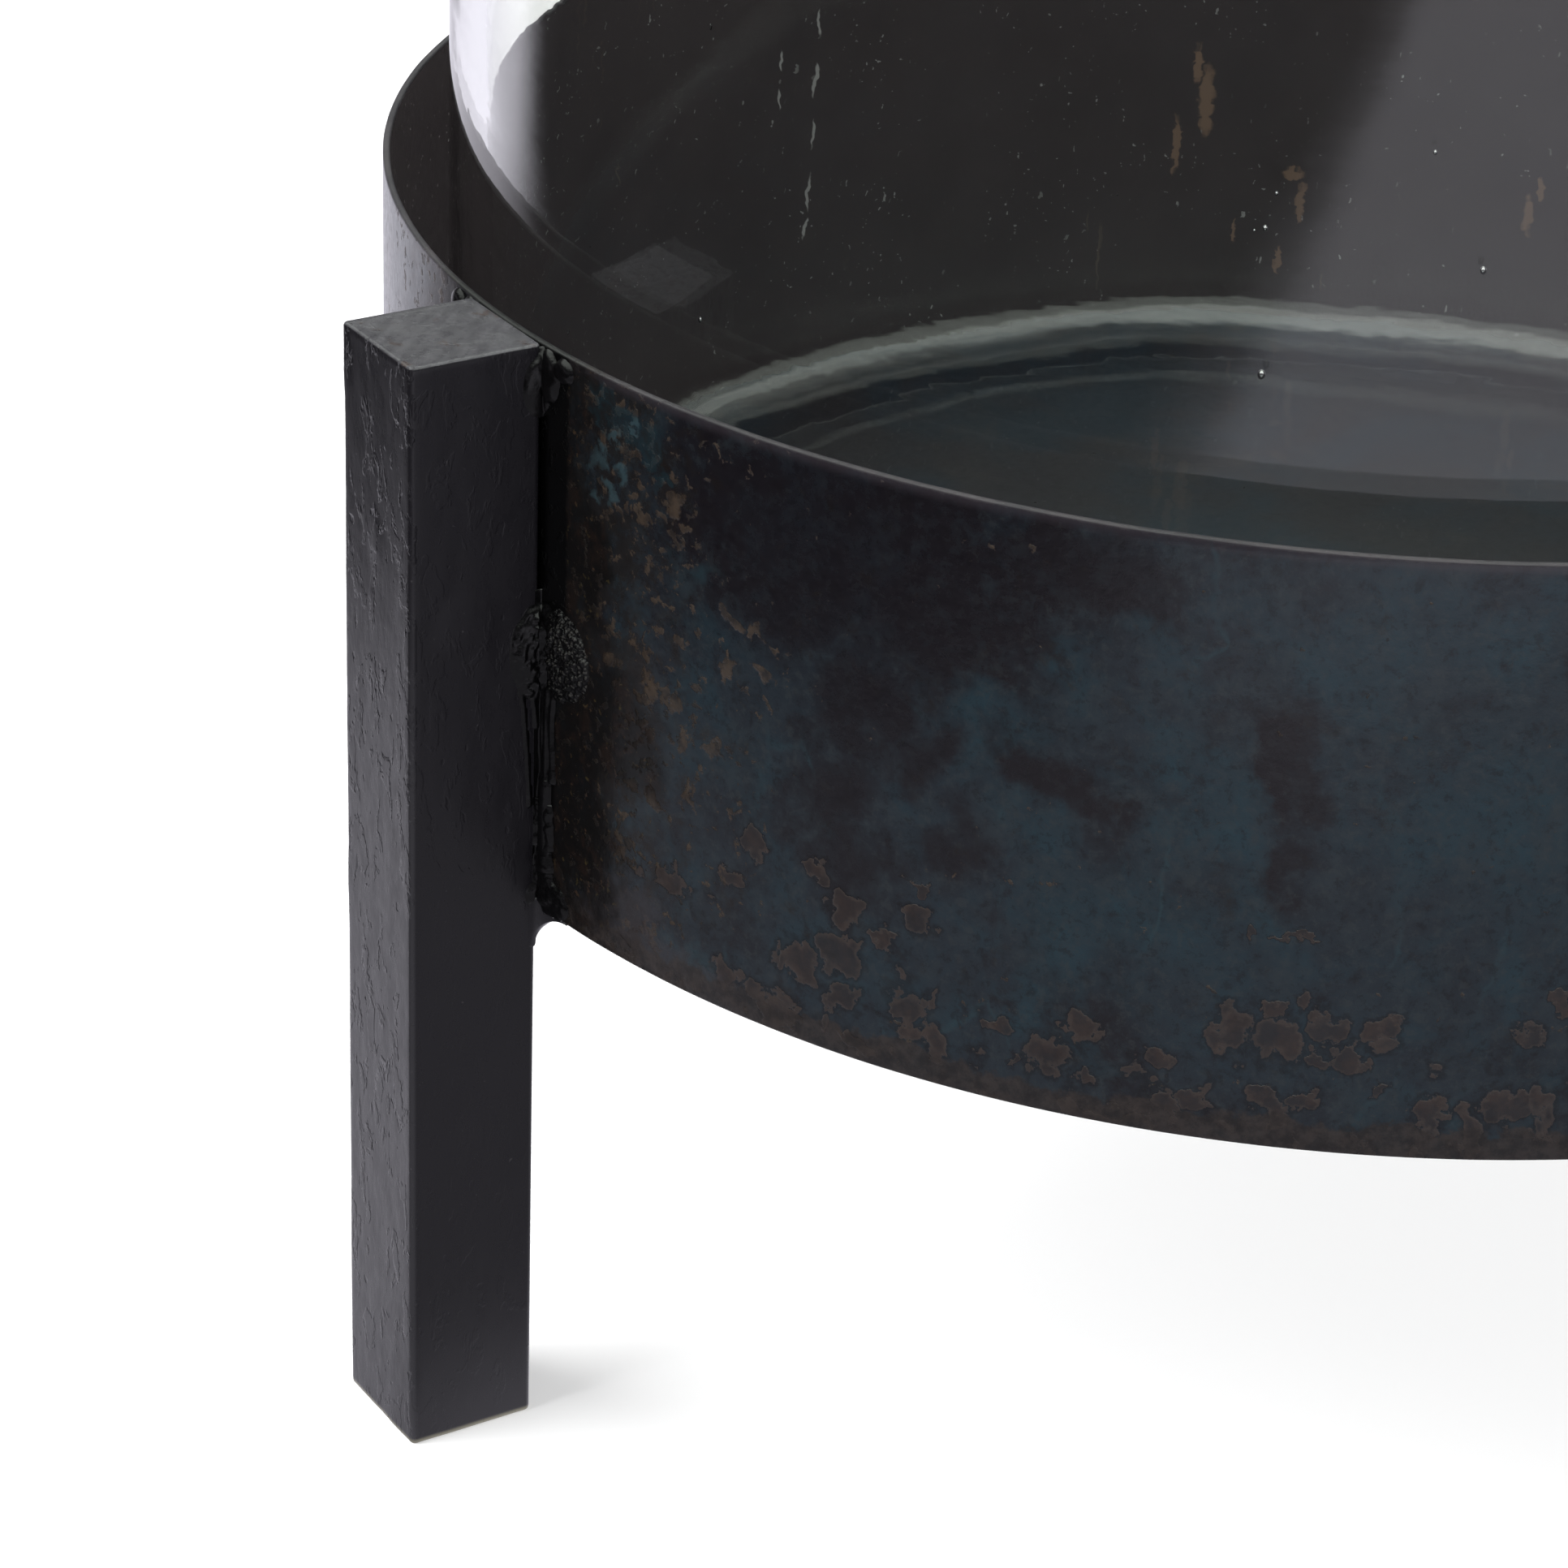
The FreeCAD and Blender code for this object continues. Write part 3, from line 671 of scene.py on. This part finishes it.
WALL_DASHES = (
    (-175.6, 112, 0.3, 2.0), (-175.4, 104.5, 0.35, 2.4), (-175.2, 97.5, 0.3, 2.0),
    (-175, 90, 0.35, 2.6), (-174.8, 85, 0.3, 1.3), (-169.4, 108, 0.3, 1.4), (-169.2, 103, 0.3, 1.8),
)
WALL_SCRATCHES = (
    (-232.5, 91, 0.6, 4.5), (-236.6, 97, 1.2, 5.5), (-235.2, 102, 0.7, 3), (-250.9, 83, 0.7, 3.4),
    (-249.4, 87, 1.6, 0.8), (-248.4, 75, 0.5, 2.2), (-242, 79, 0.4, 2), (424.5, 85, 0.8, 3.4),
    (423.2, 89, 0.5, 2),
)
SCORCHED = ((5, 84, 7, 17), (13, 90, 9, 8), (9, 74, 7, 9), (8, 106, 5, 9))


def unrolled(s):
    """The band laid flat: metres along it from the front left leg's side, then the height."""
    start = math.radians(LEG_ANGLES["front_left"] - 270) * PAN_R + BAR / 2
    angle = s.math("ARCTAN2", s.axis("X"), s.times(s.axis("Y"), -1.0))
    return s.add("CombineXYZ", (s.times(angle, PAN_R, -start), s.axis("Z")))


def beside_leg(s):
    """Metres along the band from the side of the nearest leg."""
    square = s.times(s.axis("X"), s.axis("X"))
    square = s.times(s.axis("Y"), s.axis("Y"), square)
    product = s.math("ABSOLUTE", s.times(s.axis("X"), s.axis("Y")))
    double = s.math("ARCCOSINE", s.math("DIVIDE", s.times(product, 1.99999), square))
    return s.times(double, PAN_R / 2, -BAR / 2)


def heat_tints(s, flat):
    """The sheet's own colour: violet black to slate, with teal clouds and faint pale veins."""
    soft = s.wobble(flat, 9, 9)
    cloud = s.noise(24, 7, 0.62, 0.5)
    violet = s.step(s.marks(soft, VIOLET_CLOUDS), -0.5, 0.7)
    share = s.math("SUBTRACT", s.step(cloud, 0.30, 0.56), s.times(violet, 0.8))
    colour = s.mix(s.clamp(share), srgb(30, 27, 32), srgb(41, 50, 58))
    teal = s.step(s.marks(soft, TEAL_CLOUDS), -0.4, 0.9)
    patch = s.step(s.noise(8, 7, 0.66, 0.4, shift=(3, 1, 2)), 0.44, 0.66)
    share = s.times(teal, 0.6, s.times(patch, 0.5))
    share = s.times(violet, -0.6, share)
    colour = s.mix(s.clamp(share), colour, srgb(40, 64, 74))
    colour = s.mix(s.times(violet, 0.5), colour, srgb(31, 28, 33))
    vein = s.cells(17, 9, "DISTANCE_TO_EDGE", (1, 1, 0.45))
    where = s.step(s.noise(14, 4, 0.6, shift=(4, 9, 1)), 0.46, 0.62)
    thin = s.times(s.step(vein, 0.03, 0.0), where)
    colour = s.mix(s.times(thin, s.step(violet, 1.0, 0.2, (0, 0.38))), colour, srgb(52, 80, 88))
    mottle = s.noise(3.4, 6, 0.72, 0.3)
    calm = s.step(violet, 1.0, 0.2, (0.3, 1.0))
    pale = s.times(s.step(mottle, 0.46, 0.68, (0, 0.75)), calm)
    colour = s.mix(pale, colour, srgb(50, 60, 66))
    colour = s.mix(s.step(mottle, 0.46, 0.30, (0, 0.6)), colour, srgb(28, 24, 27))
    fine = s.noise(1.3, 4, 0.7, 0.2, shift=(5, 5, 2))
    pale = s.times(s.step(fine, 0.52, 0.66, (0, 0.4)), calm)
    colour = s.mix(pale, colour, srgb(60, 66, 68))
    return s.mix(s.step(fine, 0.46, 0.34, (0, 0.4)), colour, srgb(20, 19, 22))


def crusts(s, flat, colour):
    """Flat brown plates of scale low on the band, each with a painted highlight along its edge and a
    painted shadow round it, tan flecks by the leg, teal beads and a painted sheen low down.

    Returns the colour with them, and how far they stand out of it.
    """
    ragged = s.wobble(flat, 2.6, 3.2)
    height = s.axis("Z")
    low = s.step(height, RIM_Z - 36 * MM, EDGE_Z + 1 * MM, (-0.16, 0.12))
    field = s.math("ADD", s.noise(4.2, 5, 0.5, 0.3, shift=(9, 2, 4)), low)
    field = s.times(s.math("SUBTRACT", field, 0.69), 5.0)
    plates = s.math("MAXIMUM", s.marks(ragged, CRUST_PLATES), field)
    on = s.step(plates, 0.0, 0.10)
    # ring is a painted highlight along each plate's edge, and the dark band just outside each plate is
    # a painted shadow.
    ring = s.times(on, s.step(plates, 0.45, 0.1))
    painted_plate_shadow = s.times(s.step(plates, -0.40, -0.02), s.step(plates, 0.06, 0.0))
    colour = s.mix(s.times(painted_plate_shadow, 0.5), colour, srgb(18, 16, 18))
    hue = s.noise(4, 5, 0.65, shift=(6, 6, 1))
    brown = s.mix(s.step(hue, 0.38, 0.64), srgb(49, 45, 46), srgb(68, 54, 48))
    brown = s.mix(s.step(s.noise(1, 3, 0.6), 0.4, 0.7, (0, 0.5)), brown, srgb(34, 31, 33))
    colour = s.mix(s.times(on, 0.8), colour, brown)
    # The painted highlight along the plates' edges.
    colour = s.mix(s.times(ring, 0.45), colour, srgb(86, 76, 70))
    beside = beside_leg(s)
    near = s.step(beside, 46 * MM, 12 * MM)
    patchy = s.noise(9, 3, 0.5, shift=(8, 1, 5))
    wanted = s.times(near, -0.13, s.times(patchy, -0.26, 0.82))
    grain = s.noise(1.6, 5, 0.6, 0.2, shift=(2, 7, 7))
    scatter = s.times(s.math("SUBTRACT", grain, wanted), 7.0)
    flecks = s.math("MAXIMUM", s.marks(ragged, TAN_FLECKS), scatter)
    fleck = s.step(flecks, -0.05, 0.3)
    zone = s.step(beside, 32 * MM, 6 * MM)
    rusty = s.noise(4, 6, 0.7, 0.3, shift=(3, 3, 6))
    rusty = s.step(s.times(zone, 0.28, rusty), 0.56, 0.80)
    rust = s.mix(grain, srgb(22, 19, 18), srgb(50, 42, 36))
    colour = s.mix(s.times(rusty, 0.75), colour, rust)
    tint = s.step(s.noise(2.2, 4, 0.7, shift=(1, 8, 3)), 0.35, 0.65)
    tint = s.mix(tint, srgb(50, 41, 34), srgb(96, 80, 64))
    colour = s.mix(s.times(fleck, 0.65), colour, tint)
    painted_sheen = s.step(s.marks(ragged, LOW_PAINTED_SHEEN), -0.3, 0.5)
    # A painted sheen: lighter grey-violet over the low patch.
    colour = s.mix(s.times(painted_sheen, 0.45), colour, srgb(74, 70, 74))
    patch = s.step(s.marks(ragged, TEAL_PATCH), -0.2, 0.4)
    patch = s.times(patch, s.step(grain, 0.35, 0.6, (0.15, 0.75)))
    colour = s.mix(patch, colour, srgb(33, 56, 64))
    bead = s.step(s.marks(ragged, TEAL_BEADS), -0.4, 0.7)
    colour = s.mix(s.times(bead, 0.55), colour, srgb(70, 98, 106))
    raised = s.math("MAXIMUM", s.step(plates, -0.05, 0.2), s.step(flecks, 0, 0.6))
    raised = s.math("MAXIMUM", s.math("MAXIMUM", raised, bead), s.times(painted_sheen, grain))
    return colour, raised


def edges(s, colour):
    """Brown along the lower edge, and metal worn through along the rim.

    Returns the colour with them, and where the rim is bare.
    """
    height = s.axis("Z")
    ragged = s.noise(5, 5, 0.65, shift=(2, 2, 2))
    edge = s.times(ragged, -7 * MM, height)
    strip = s.step(edge, EDGE_Z + 0.2 * MM, EDGE_Z - 0.6 * MM)
    fine = s.noise(1.6, 5, 0.7, shift=(8, 8, 8))
    brown = s.mix(s.step(fine, 0.35, 0.65), srgb(42, 37, 35), srgb(68, 60, 56))
    colour = s.mix(s.times(strip, 0.8), colour, brown)
    rim = s.step(s.times(fine, 0.5 * MM, height), RIM_Z - 0.25 * MM, RIM_Z + 0.2 * MM)
    rubbed = s.step(s.times(fine, 0.6 * MM, height), RIM_Z - 1.2 * MM, RIM_Z, (0, 0.6))
    colour = s.mix(rubbed, colour, srgb(70, 64, 70))
    bright = s.mix(s.step(s.noise(11, 4, 0.6), 0.42, 0.62), srgb(58, 55, 59), srgb(84, 79, 82))
    return s.mix(s.times(rim, 0.8), colour, bright), rim


def scorched(s, flat, colour):
    """Burnt, painted sheet beside each leg: a black strip, partly black paint and partly painted shade
    in the crevice by the bar, and a dark patch under the weld.

    Returns the colour with them, and where the strip is.
    """
    fine = s.noise(2, 5, 0.65, 0.4, shift=(5, 3, 8))
    beside = beside_leg(s)
    soft = s.wobble(flat, 5, 7)
    patch = s.step(s.marks(soft, SCORCHED), -0.1, 0.5)
    around = s.step(s.times(fine, -14 * MM, beside), 5 * MM, -3 * MM)
    dark = s.clamp(s.times(s.math("MAXIMUM", patch, around), 0.85))
    colour = s.mix(dark, colour, srgb(17, 15, 14))
    rust = s.step(s.noise(3, 5, 0.7, 0.3, shift=(6, 2, 9)), 0.48, 0.66)
    colour = s.mix(s.times(dark, s.times(rust, 0.7)), colour, srgb(46, 34, 28))
    speck = s.times(dark, s.step(s.noise(0.9, 4, 0.6, shift=(1, 4, 4)), 0.60, 0.70))
    ochre = s.mix(s.step(fine, 0.4, 0.6), srgb(84, 74, 44), srgb(88, 68, 54))
    colour = s.mix(s.times(speck, 0.7), colour, ochre)
    # The strip is near-black painted shade in the crevice beside the bar, over the black paint there,
    # widening upwards.
    wide = s.step(s.axis("Z"), RIM_Z - 38 * MM, RIM_Z - 30 * MM, (1.6 * MM, 3.4 * MM))
    strip = s.times(fine, -1.6 * MM, s.math("SUBTRACT", beside, wide))
    strip = s.step(strip, 0.6 * MM, -0.2 * MM)
    return s.mix(strip, colour, srgb(5, 5, 5)), strip


def inside_wall(s, flat, colour):
    """The pan's inside is plainer: its colour is lifted well above the outside's as painted light, with
    dust specks, pale dashes and rubbed marks where the photo has them.

    Returns the colour with it, and where the inside is.
    """
    radius = s.vector("LENGTH", s.vector("MULTIPLY", s.place, (1, 1, 0)), out="Value")
    inside = s.step(radius, PAN_R - 0.3 * MM, PAN_R - 0.55 * MM)
    below = s.step(s.axis("Z"), RIM_Z - 0.1 * MM, RIM_Z - 0.6 * MM)
    # The inside's colour is lifted well above the outside of the same sheet: painted light for the
    # pan's shaded inside.
    plain = s.mix(s.noise(18, 5, 0.6), srgb(66, 59, 61), srgb(86, 78, 80))
    scratch = s.noise(1.5, 2, 0.5, stretch=(1, 1, 0.07), shift=(3, 3, 0))
    scratch = s.times(s.step(scratch, 0.72, 0.76), s.step(s.noise(9, 3, 0.5), 0.52, 0.6))
    plain = s.mix(s.times(scratch, 0.6), plain, srgb(112, 100, 92))
    dust = s.step(s.noise(0.7, 1, 0.5, shift=(6, 1, 1)), 0.71, 0.76)
    dust = s.times(dust, s.step(s.noise(14, 3, 0.6, shift=(1, 6, 3)), 0.40, 0.60))
    plain = s.mix(s.times(dust, 0.8), plain, srgb(176, 174, 172))
    ragged = s.wobble(flat, 1.2, 1.0)
    rubbed = s.step(s.marks(ragged, WALL_SCRATCHES), 0.0, 0.4, (0, 0.8))
    plain = s.mix(rubbed, plain, srgb(150, 122, 104))
    dashes = s.step(s.marks(flat, WALL_DASHES), 0.0, 0.4, (0, 0.9))
    plain = s.mix(dashes, plain, srgb(190, 186, 184))
    inside = s.times(inside, below)
    return s.mix(inside, colour, plain), inside


def blued_sheet():
    """Flame-blued sheet: tinted clouds, brown scale low down with painted shadows, highlights and a
    painted sheen, burnt paint and painted crevice shade by the legs, and a colour lifted by painted
    light inside.
    """
    s = Surface("blued_sheet_steel", IOR=1.5)
    flat = unrolled(s)
    colour = heat_tints(s, flat)
    colour, raised = crusts(s, flat, colour)
    colour, rim = edges(s, colour)
    # scorched paints the crevice shade beside each leg as a near-black strip.
    colour, strip = scorched(s, flat, colour)
    colour, inside = inside_wall(s, flat, colour)
    raised = s.blend(inside, raised, 0.0)
    fine = s.noise(1.1, 5, 0.65)
    dimple = s.noise(3.5, 3, 0.5, shift=(4, 4, 4))
    coarse = s.step(s.axis("Z"), EDGE_Z + 16 * MM, EDGE_Z + 2 * MM, (0.25, 0.7))
    relief = s.times(fine, coarse, s.times(dimple, 0.3))
    relief = s.times(raised, 0.6, relief)
    rough = s.blend(raised, s.step(fine, 0.2, 0.8, (0.16, 0.27)), 0.42)
    rough = s.blend(rim, s.blend(strip, rough, 0.22), 0.45)
    return s.set(Base_Color=colour, Roughness=rough, Normal=s.bump(relief, 0.10 * MM))


def floor_sheet():
    """The pan's floor: the same sheet, bluer and smoother than the outside of the band."""
    s = Surface("floor_sheet_steel", IOR=1.5)
    cloud = s.noise(30, 6, 0.6, 0.4)
    colour = s.mix(s.step(cloud, 0.40, 0.60), srgb(52, 50, 56), srgb(44, 56, 68))
    stain = s.step(s.noise(7, 6, 0.7, shift=(2, 8, 0)), 0.55, 0.7)
    colour = s.mix(s.times(stain, 0.4), colour, srgb(78, 74, 72))
    fine = s.noise(1.2, 4, 0.6)
    colour = s.mix(s.step(fine, 0.5, 0.3, (0, 0.4)), colour, srgb(34, 36, 40))
    rough = s.step(fine, 0.2, 0.8, (0.42, 0.55))
    return s.set(Base_Color=colour, Roughness=rough, Normal=s.bump(fine, 0.012 * MM))


def bar_edges(s):
    """The long edges of the bars, which stand on the diagonals, and their outward faces."""
    across, along = s.math("ABSOLUTE", s.axis("X")), s.math("ABSOLUTE", s.axis("Y"))
    side = s.math("ABSOLUTE", s.times(s.math("SUBTRACT", across, along), 0.5 ** 0.5))
    out = s.times(s.math("ADD", across, along), 0.5 ** 0.5, -PAN_R - BAR / 2)
    inner = s.math("MINIMUM", side, s.math("ABSOLUTE", out))
    edge = s.step(inner, BAR / 2 - 0.7 * MM, BAR / 2 - 0.3 * MM)
    return edge, s.step(out, BAR / 2 - 0.8 * MM, BAR / 2 - 0.4 * MM)


def bar_paint():
    """Thick satin charcoal paint with flakes and pits; its long edges lighter, partly worn and partly a
    painted highlight, its ground top bare steel lightened by a painted sheen, and a pale band of
    painted table light along the foot.
    """
    s = Surface("blackened_bar_steel", IOR=1.5)
    height = s.axis("Z")
    fine = s.noise(1.2, 5, 0.6, stretch=(1, 1, 0.4))
    broad = s.noise(30, 4, 0.5)
    colour = s.mix(broad, srgb(26, 25, 29), srgb(39, 37, 42))
    flakes = s.step(s.noise(2.6, 4, 0.6, 0.4, stretch=(1, 1, 0.45), shift=(7, 1, 3)), 0.54, 0.60)
    pits = s.step(s.noise(1.5, 2, 0.5, stretch=(1, 1, 0.6), shift=(1, 9, 3)), 0.32, 0.26)
    speck = s.step(s.noise(0.7, 2, 0.5, shift=(3, 3, 8)), 0.74, 0.78)
    colour = s.mix(s.times(speck, 0.5), colour, srgb(92, 90, 92))
    edge, outward = bar_edges(s)
    # The long edges are lighter, more so lower down: partly worn paint and partly a painted highlight.
    worn = s.times(edge, s.step(height, RIM_Z - 16 * MM, RIM_Z - 50 * MM, (0.05, 0.6)))
    colour = s.mix(worn, colour, srgb(74, 73, 77))
    top = s.step(height, RIM_Z - 0.22 * MM, RIM_Z - 0.14 * MM)
    # The ground top is bare steel whose light grey is lightened further by a painted sheen.
    brushed = s.noise(1.1, 4, 0.6, stretch=(1, 0.22, 1), shift=(2, 2, 0))
    ground = s.mix(s.step(brushed, 0.3, 0.7), srgb(86, 85, 89), srgb(108, 107, 111))
    rust = s.step(s.noise(3.2, 4, 0.6, 0.3, shift=(4, 4, 4)), 0.60, 0.68)
    ground = s.mix(s.times(rust, 0.6), ground, srgb(78, 56, 46))
    colour = s.mix(top, colour, ground)
    # A pale band along the foot, painted light from the table seen at its edge.
    foot = s.step(height, 0.9 * MM, 0.4 * MM, (0, 0.85))
    colour = s.mix(foot, colour, srgb(150, 146, 124))
    rough = s.step(fine, 0.25, 0.75, (0.23, 0.35))
    relief = s.times(flakes, 0.6, s.times(fine, 0.4, s.times(pits, -0.8)))
    relief = s.times(relief, s.times(outward, 0.75, 0.25))
    return s.set(Base_Color=colour, Roughness=rough, Normal=s.bump(relief, 0.12 * MM))


def weld_coat():
    """Glossy black paint that pooled over the rough weld, still grainy on the band's side, the grains'
    tips painted pale as glints.
    """
    s = Surface("weld_metal", IOR=1.42)
    fine = s.noise(0.6, 4, 0.6)
    spatter = s.step(beside_leg(s), 1.6 * MM, 3.0 * MM)
    level = s.math("ABSOLUTE", s.math("SUBTRACT", s.axis("Z"), RIM_Z - BAND_HALF))
    spatter = s.times(spatter, s.step(level, 7 * MM, 5 * MM))
    grit = s.math("SUBTRACT", 1.0, s.cells(0.45, 0.2))
    colour = s.mix(fine, srgb(8, 8, 9), srgb(18, 17, 18))
    # The pale tips of the spatter grains are painted glints.
    colour = s.mix(s.times(spatter, s.step(grit, 0.55, 0.8)), colour, srgb(76, 75, 72))
    rough = s.step(fine, 0.3, 0.7, (0.14, 0.26))
    relief = s.times(s.times(spatter, grit), 2.4, s.times(fine, 0.6))
    return s.set(Base_Color=colour, Roughness=rough, Normal=s.bump(relief, 0.08 * MM))


def clear_glass():
    """Clear, faintly rippled glass, a little green in its heel; lamps pass straight through."""
    s = Surface("clear_glass", Roughness=0.0, IOR=1.5, Transmission_Weight=1.0)
    heel = s.step(s.axis("Z"), FOOT_Z + 12 * MM, FOOT_Z + 4 * MM)
    tint = s.mix(heel, (0.984, 0.996, 0.986, 1), (0.972, 0.996, 0.978, 1))
    s.set(Base_Color=tint, Normal=s.bump(s.noise(12, 3, 0.5, stretch=(1, 1, 2.5)), 0.018 * MM))
    through = s.math("MAXIMUM", s.ray("Is Shadow Ray"), s.ray("Is Diffuse Ray"))
    return s.swap(through, s.add("BsdfTransparent", ((0.96, 0.98, 0.97, 1),)))


# ---------------------------------------------------------------- stage

LILAC = (1.01, 0.985, 1.09, 1)


def seen_directly(surface):
    """1 for what the camera sees, straight or through clear glass, and 0 for reflections."""
    straight = surface.math("LESS_THAN", surface.ray("Glossy Depth"), 0.5)
    through = surface.times(surface.ray("Is Transmission Ray"), straight)
    return surface.math("MAXIMUM", surface.ray("Is Camera Ray"), through)


def make_floor():
    """A wide pale floor that shows white and keeps the stand's soft shadow.

    Reflections see it as a white table lit behind and at the left of the stand and dim in
    front, with a dark stretch and a hazy one beyond it on the front left.
    """
    mesh = bpy.data.meshes.new("studio_floor")
    side = 6.0
    corners = [(-side, -side, 0), (side, -side, 0), (side, side, 0), (-side, side, 0)]
    mesh.from_pydata(corners, [], [(0, 1, 2, 3)])
    floor = placed("studio_floor", mesh)
    s = Surface("studio_floor", Roughness=1.0, Base_Color=(0.4, 0.4, 0.4, 1), Specular_IOR_Level=0.0)
    seen = seen_directly(s)

    def past(across, along, low, high):
        """A smooth step of the distance from the stand's axis in a level direction."""
        return s.step(s.times(s.axis("X"), across, s.times(s.axis("Y"), along)), low, high)

    near_left = s.times(past(-1, 0, 0.03, 0.08), past(-1, 0, 0.36, 0.24))
    near_left = s.times(near_left, s.step(s.axis("Y"), -0.13, -0.07))
    lit = s.math("MAXIMUM", s.step(s.axis("Y"), 0.08, 0.18, (0.28, 0.95)), near_left)
    haze = s.times(past(0, -1, 0.28, 0.38), past(0.856, 0.519, -0.32, -0.25))
    lit = s.math("MAXIMUM", lit, s.times(haze, 0.68))
    dark = s.times(past(-0.8, -0.6, 0.13, 0.20), past(-0.469, -0.883, 0.07, 0.13))
    dark = s.times(dark, past(0.856, 0.519, -0.27, -0.33))
    dark = s.times(dark, s.math("SUBTRACT", 1.0, near_left))
    reflected = s.times(lit, s.times(dark, -0.95, 1.0))
    away = s.vector("LENGTH", s.place, out="Value")
    s.set(Emission_Color=(1, 1, 1, 1), Emission_Strength=s.step(away, 0.6, 1.6, (0.52, 1.0)))
    glow = s.add("Emission", (LILAC, reflected))
    mesh.materials.append(s.swap(s.math("SUBTRACT", 1.0, seen), glow))
    return floor


def make_world():
    """White where it is seen directly or through glass, an even light, and a darker studio in
    reflections: a pale horizon, dark above it, and a wide soft light overhead."""
    world = bpy.data.worlds.new("studio")
    bpy.context.scene.world = world
    world.use_nodes = True
    s = Surface.__new__(Surface)
    s.nodes, s.links = world.node_tree.nodes, world.node_tree.links
    s.place = s.add("TexCoord", out="Generated")
    ramp = s.nodes.new("ShaderNodeValToRGB")
    stops = ((0.0, 0.5), (0.06, 0.35), (0.16, 0.06), (0.44, 0.08), (0.56, 1.6), (1.0, 2.4))
    first, last = ramp.color_ramp.elements
    first.position, last.position = stops[0][0], stops[-1][0]
    first.color, last.color = (stops[0][1],) * 3 + (1,), (stops[-1][1],) * 3 + (1,)
    for position, value in stops[1:-1]:
        ramp.color_ramp.elements.new(position).color = (value, value, value, 1)
    s.feed(ramp.inputs[0], s.axis("Z"))
    tint = s.mix(s.step(s.axis("Z"), 0.5, 0.3), (0.93, 0.99, 0.93, 1), LILAC)
    around = s.mix(1.0, ramp.outputs[0], tint, "MULTIPLY")
    studio = s.mix(s.ray("Is Glossy Ray"), (0.62, 0.62, 0.62, 1), around)
    s.feed(s.nodes["Background"].inputs["Color"], s.mix(seen_directly(s), studio, (1, 1, 1, 1)))


def make_lamp(name, place, size, power):
    """A soft square lamp aimed at the pan, which lights without showing in reflections."""
    data = bpy.data.lights.new(name, "AREA")
    data.energy = power
    data.shape = "SQUARE"
    data.size = size
    lamp = placed(name, data)
    lamp.location = place
    lamp.rotation_mode = "QUATERNION"
    aim = Vector((0, 0, 0.1)) - Vector(place)
    lamp.rotation_quaternion = aim.to_track_quat("-Z", "Y")
    lamp.visible_glossy = lamp.visible_camera = lamp.visible_transmission = False
    return lamp


def only_for(lamp, lit, shading):
    """Keeps a lamp's light to some objects, and lets only some others cast its shadows."""
    for role, things in (("receiver", lit), ("blocker", shading)):
        group = bpy.data.collections.new(f"{lamp.name}_{role}s")
        for thing in things:
            group.objects.link(thing)
        setattr(lamp.light_linking, f"{role}_collection", group)


def make_camera():
    """The photograph's viewpoint, a little to the right of the front and looking down."""
    swing = Matrix.Rotation(math.radians(5.37), 4, "Z")
    yaw, pitch, roll = 0.1236, 0.4658, -0.0363
    turn = Matrix.Rotation(yaw, 4, "Z") @ Matrix.Rotation(math.pi / 2 - pitch, 4, "X")
    turn = turn @ Matrix.Rotation(-roll, 4, "Z")
    data = bpy.data.cameras.new("camera")
    data.sensor_width = 36
    data.lens = 111.86
    data.clip_start, data.clip_end = 0.01, 50
    camera = placed("camera", data)
    camera.matrix_world = swing @ Matrix.Translation((0, -0.5271, 0.309)) @ turn
    bpy.context.scene.camera = camera


def main():
    sheet, floor_steel, paint, coat = blued_sheet(), floor_sheet(), bar_paint(), weld_coat()
    glass = clear_glass()
    make_camera()
    make_band(sheet)
    make_glass(glass)
    make_seeds(glass)
    legs = [make_leg(place, paint) for place in LEG_ANGLES]
    for place in LEG_ANGLES:
        make_welds(place, coat, paint)
    for node, material in (("pan_floor", floor_steel), ("floor_tacks", coat), ("band_seam_weld", coat)):
        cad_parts[node].data.materials.clear()
        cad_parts[node].data.materials.append(material)
    floor = make_floor()
    make_world()
    make_lamp("key_lamp", (-0.95, -0.6, 1.2), 0.7, 5)
    make_lamp("fill_lamp", (0.9, -0.9, 1.2), 1.0, 2.5)
    only_for(make_lamp("floor_lamp", (-1.2, -0.45, 0.8), 1.6, 96), [floor], legs)
    scene = bpy.context.scene
    scene.view_settings.view_transform = "Standard"


main()
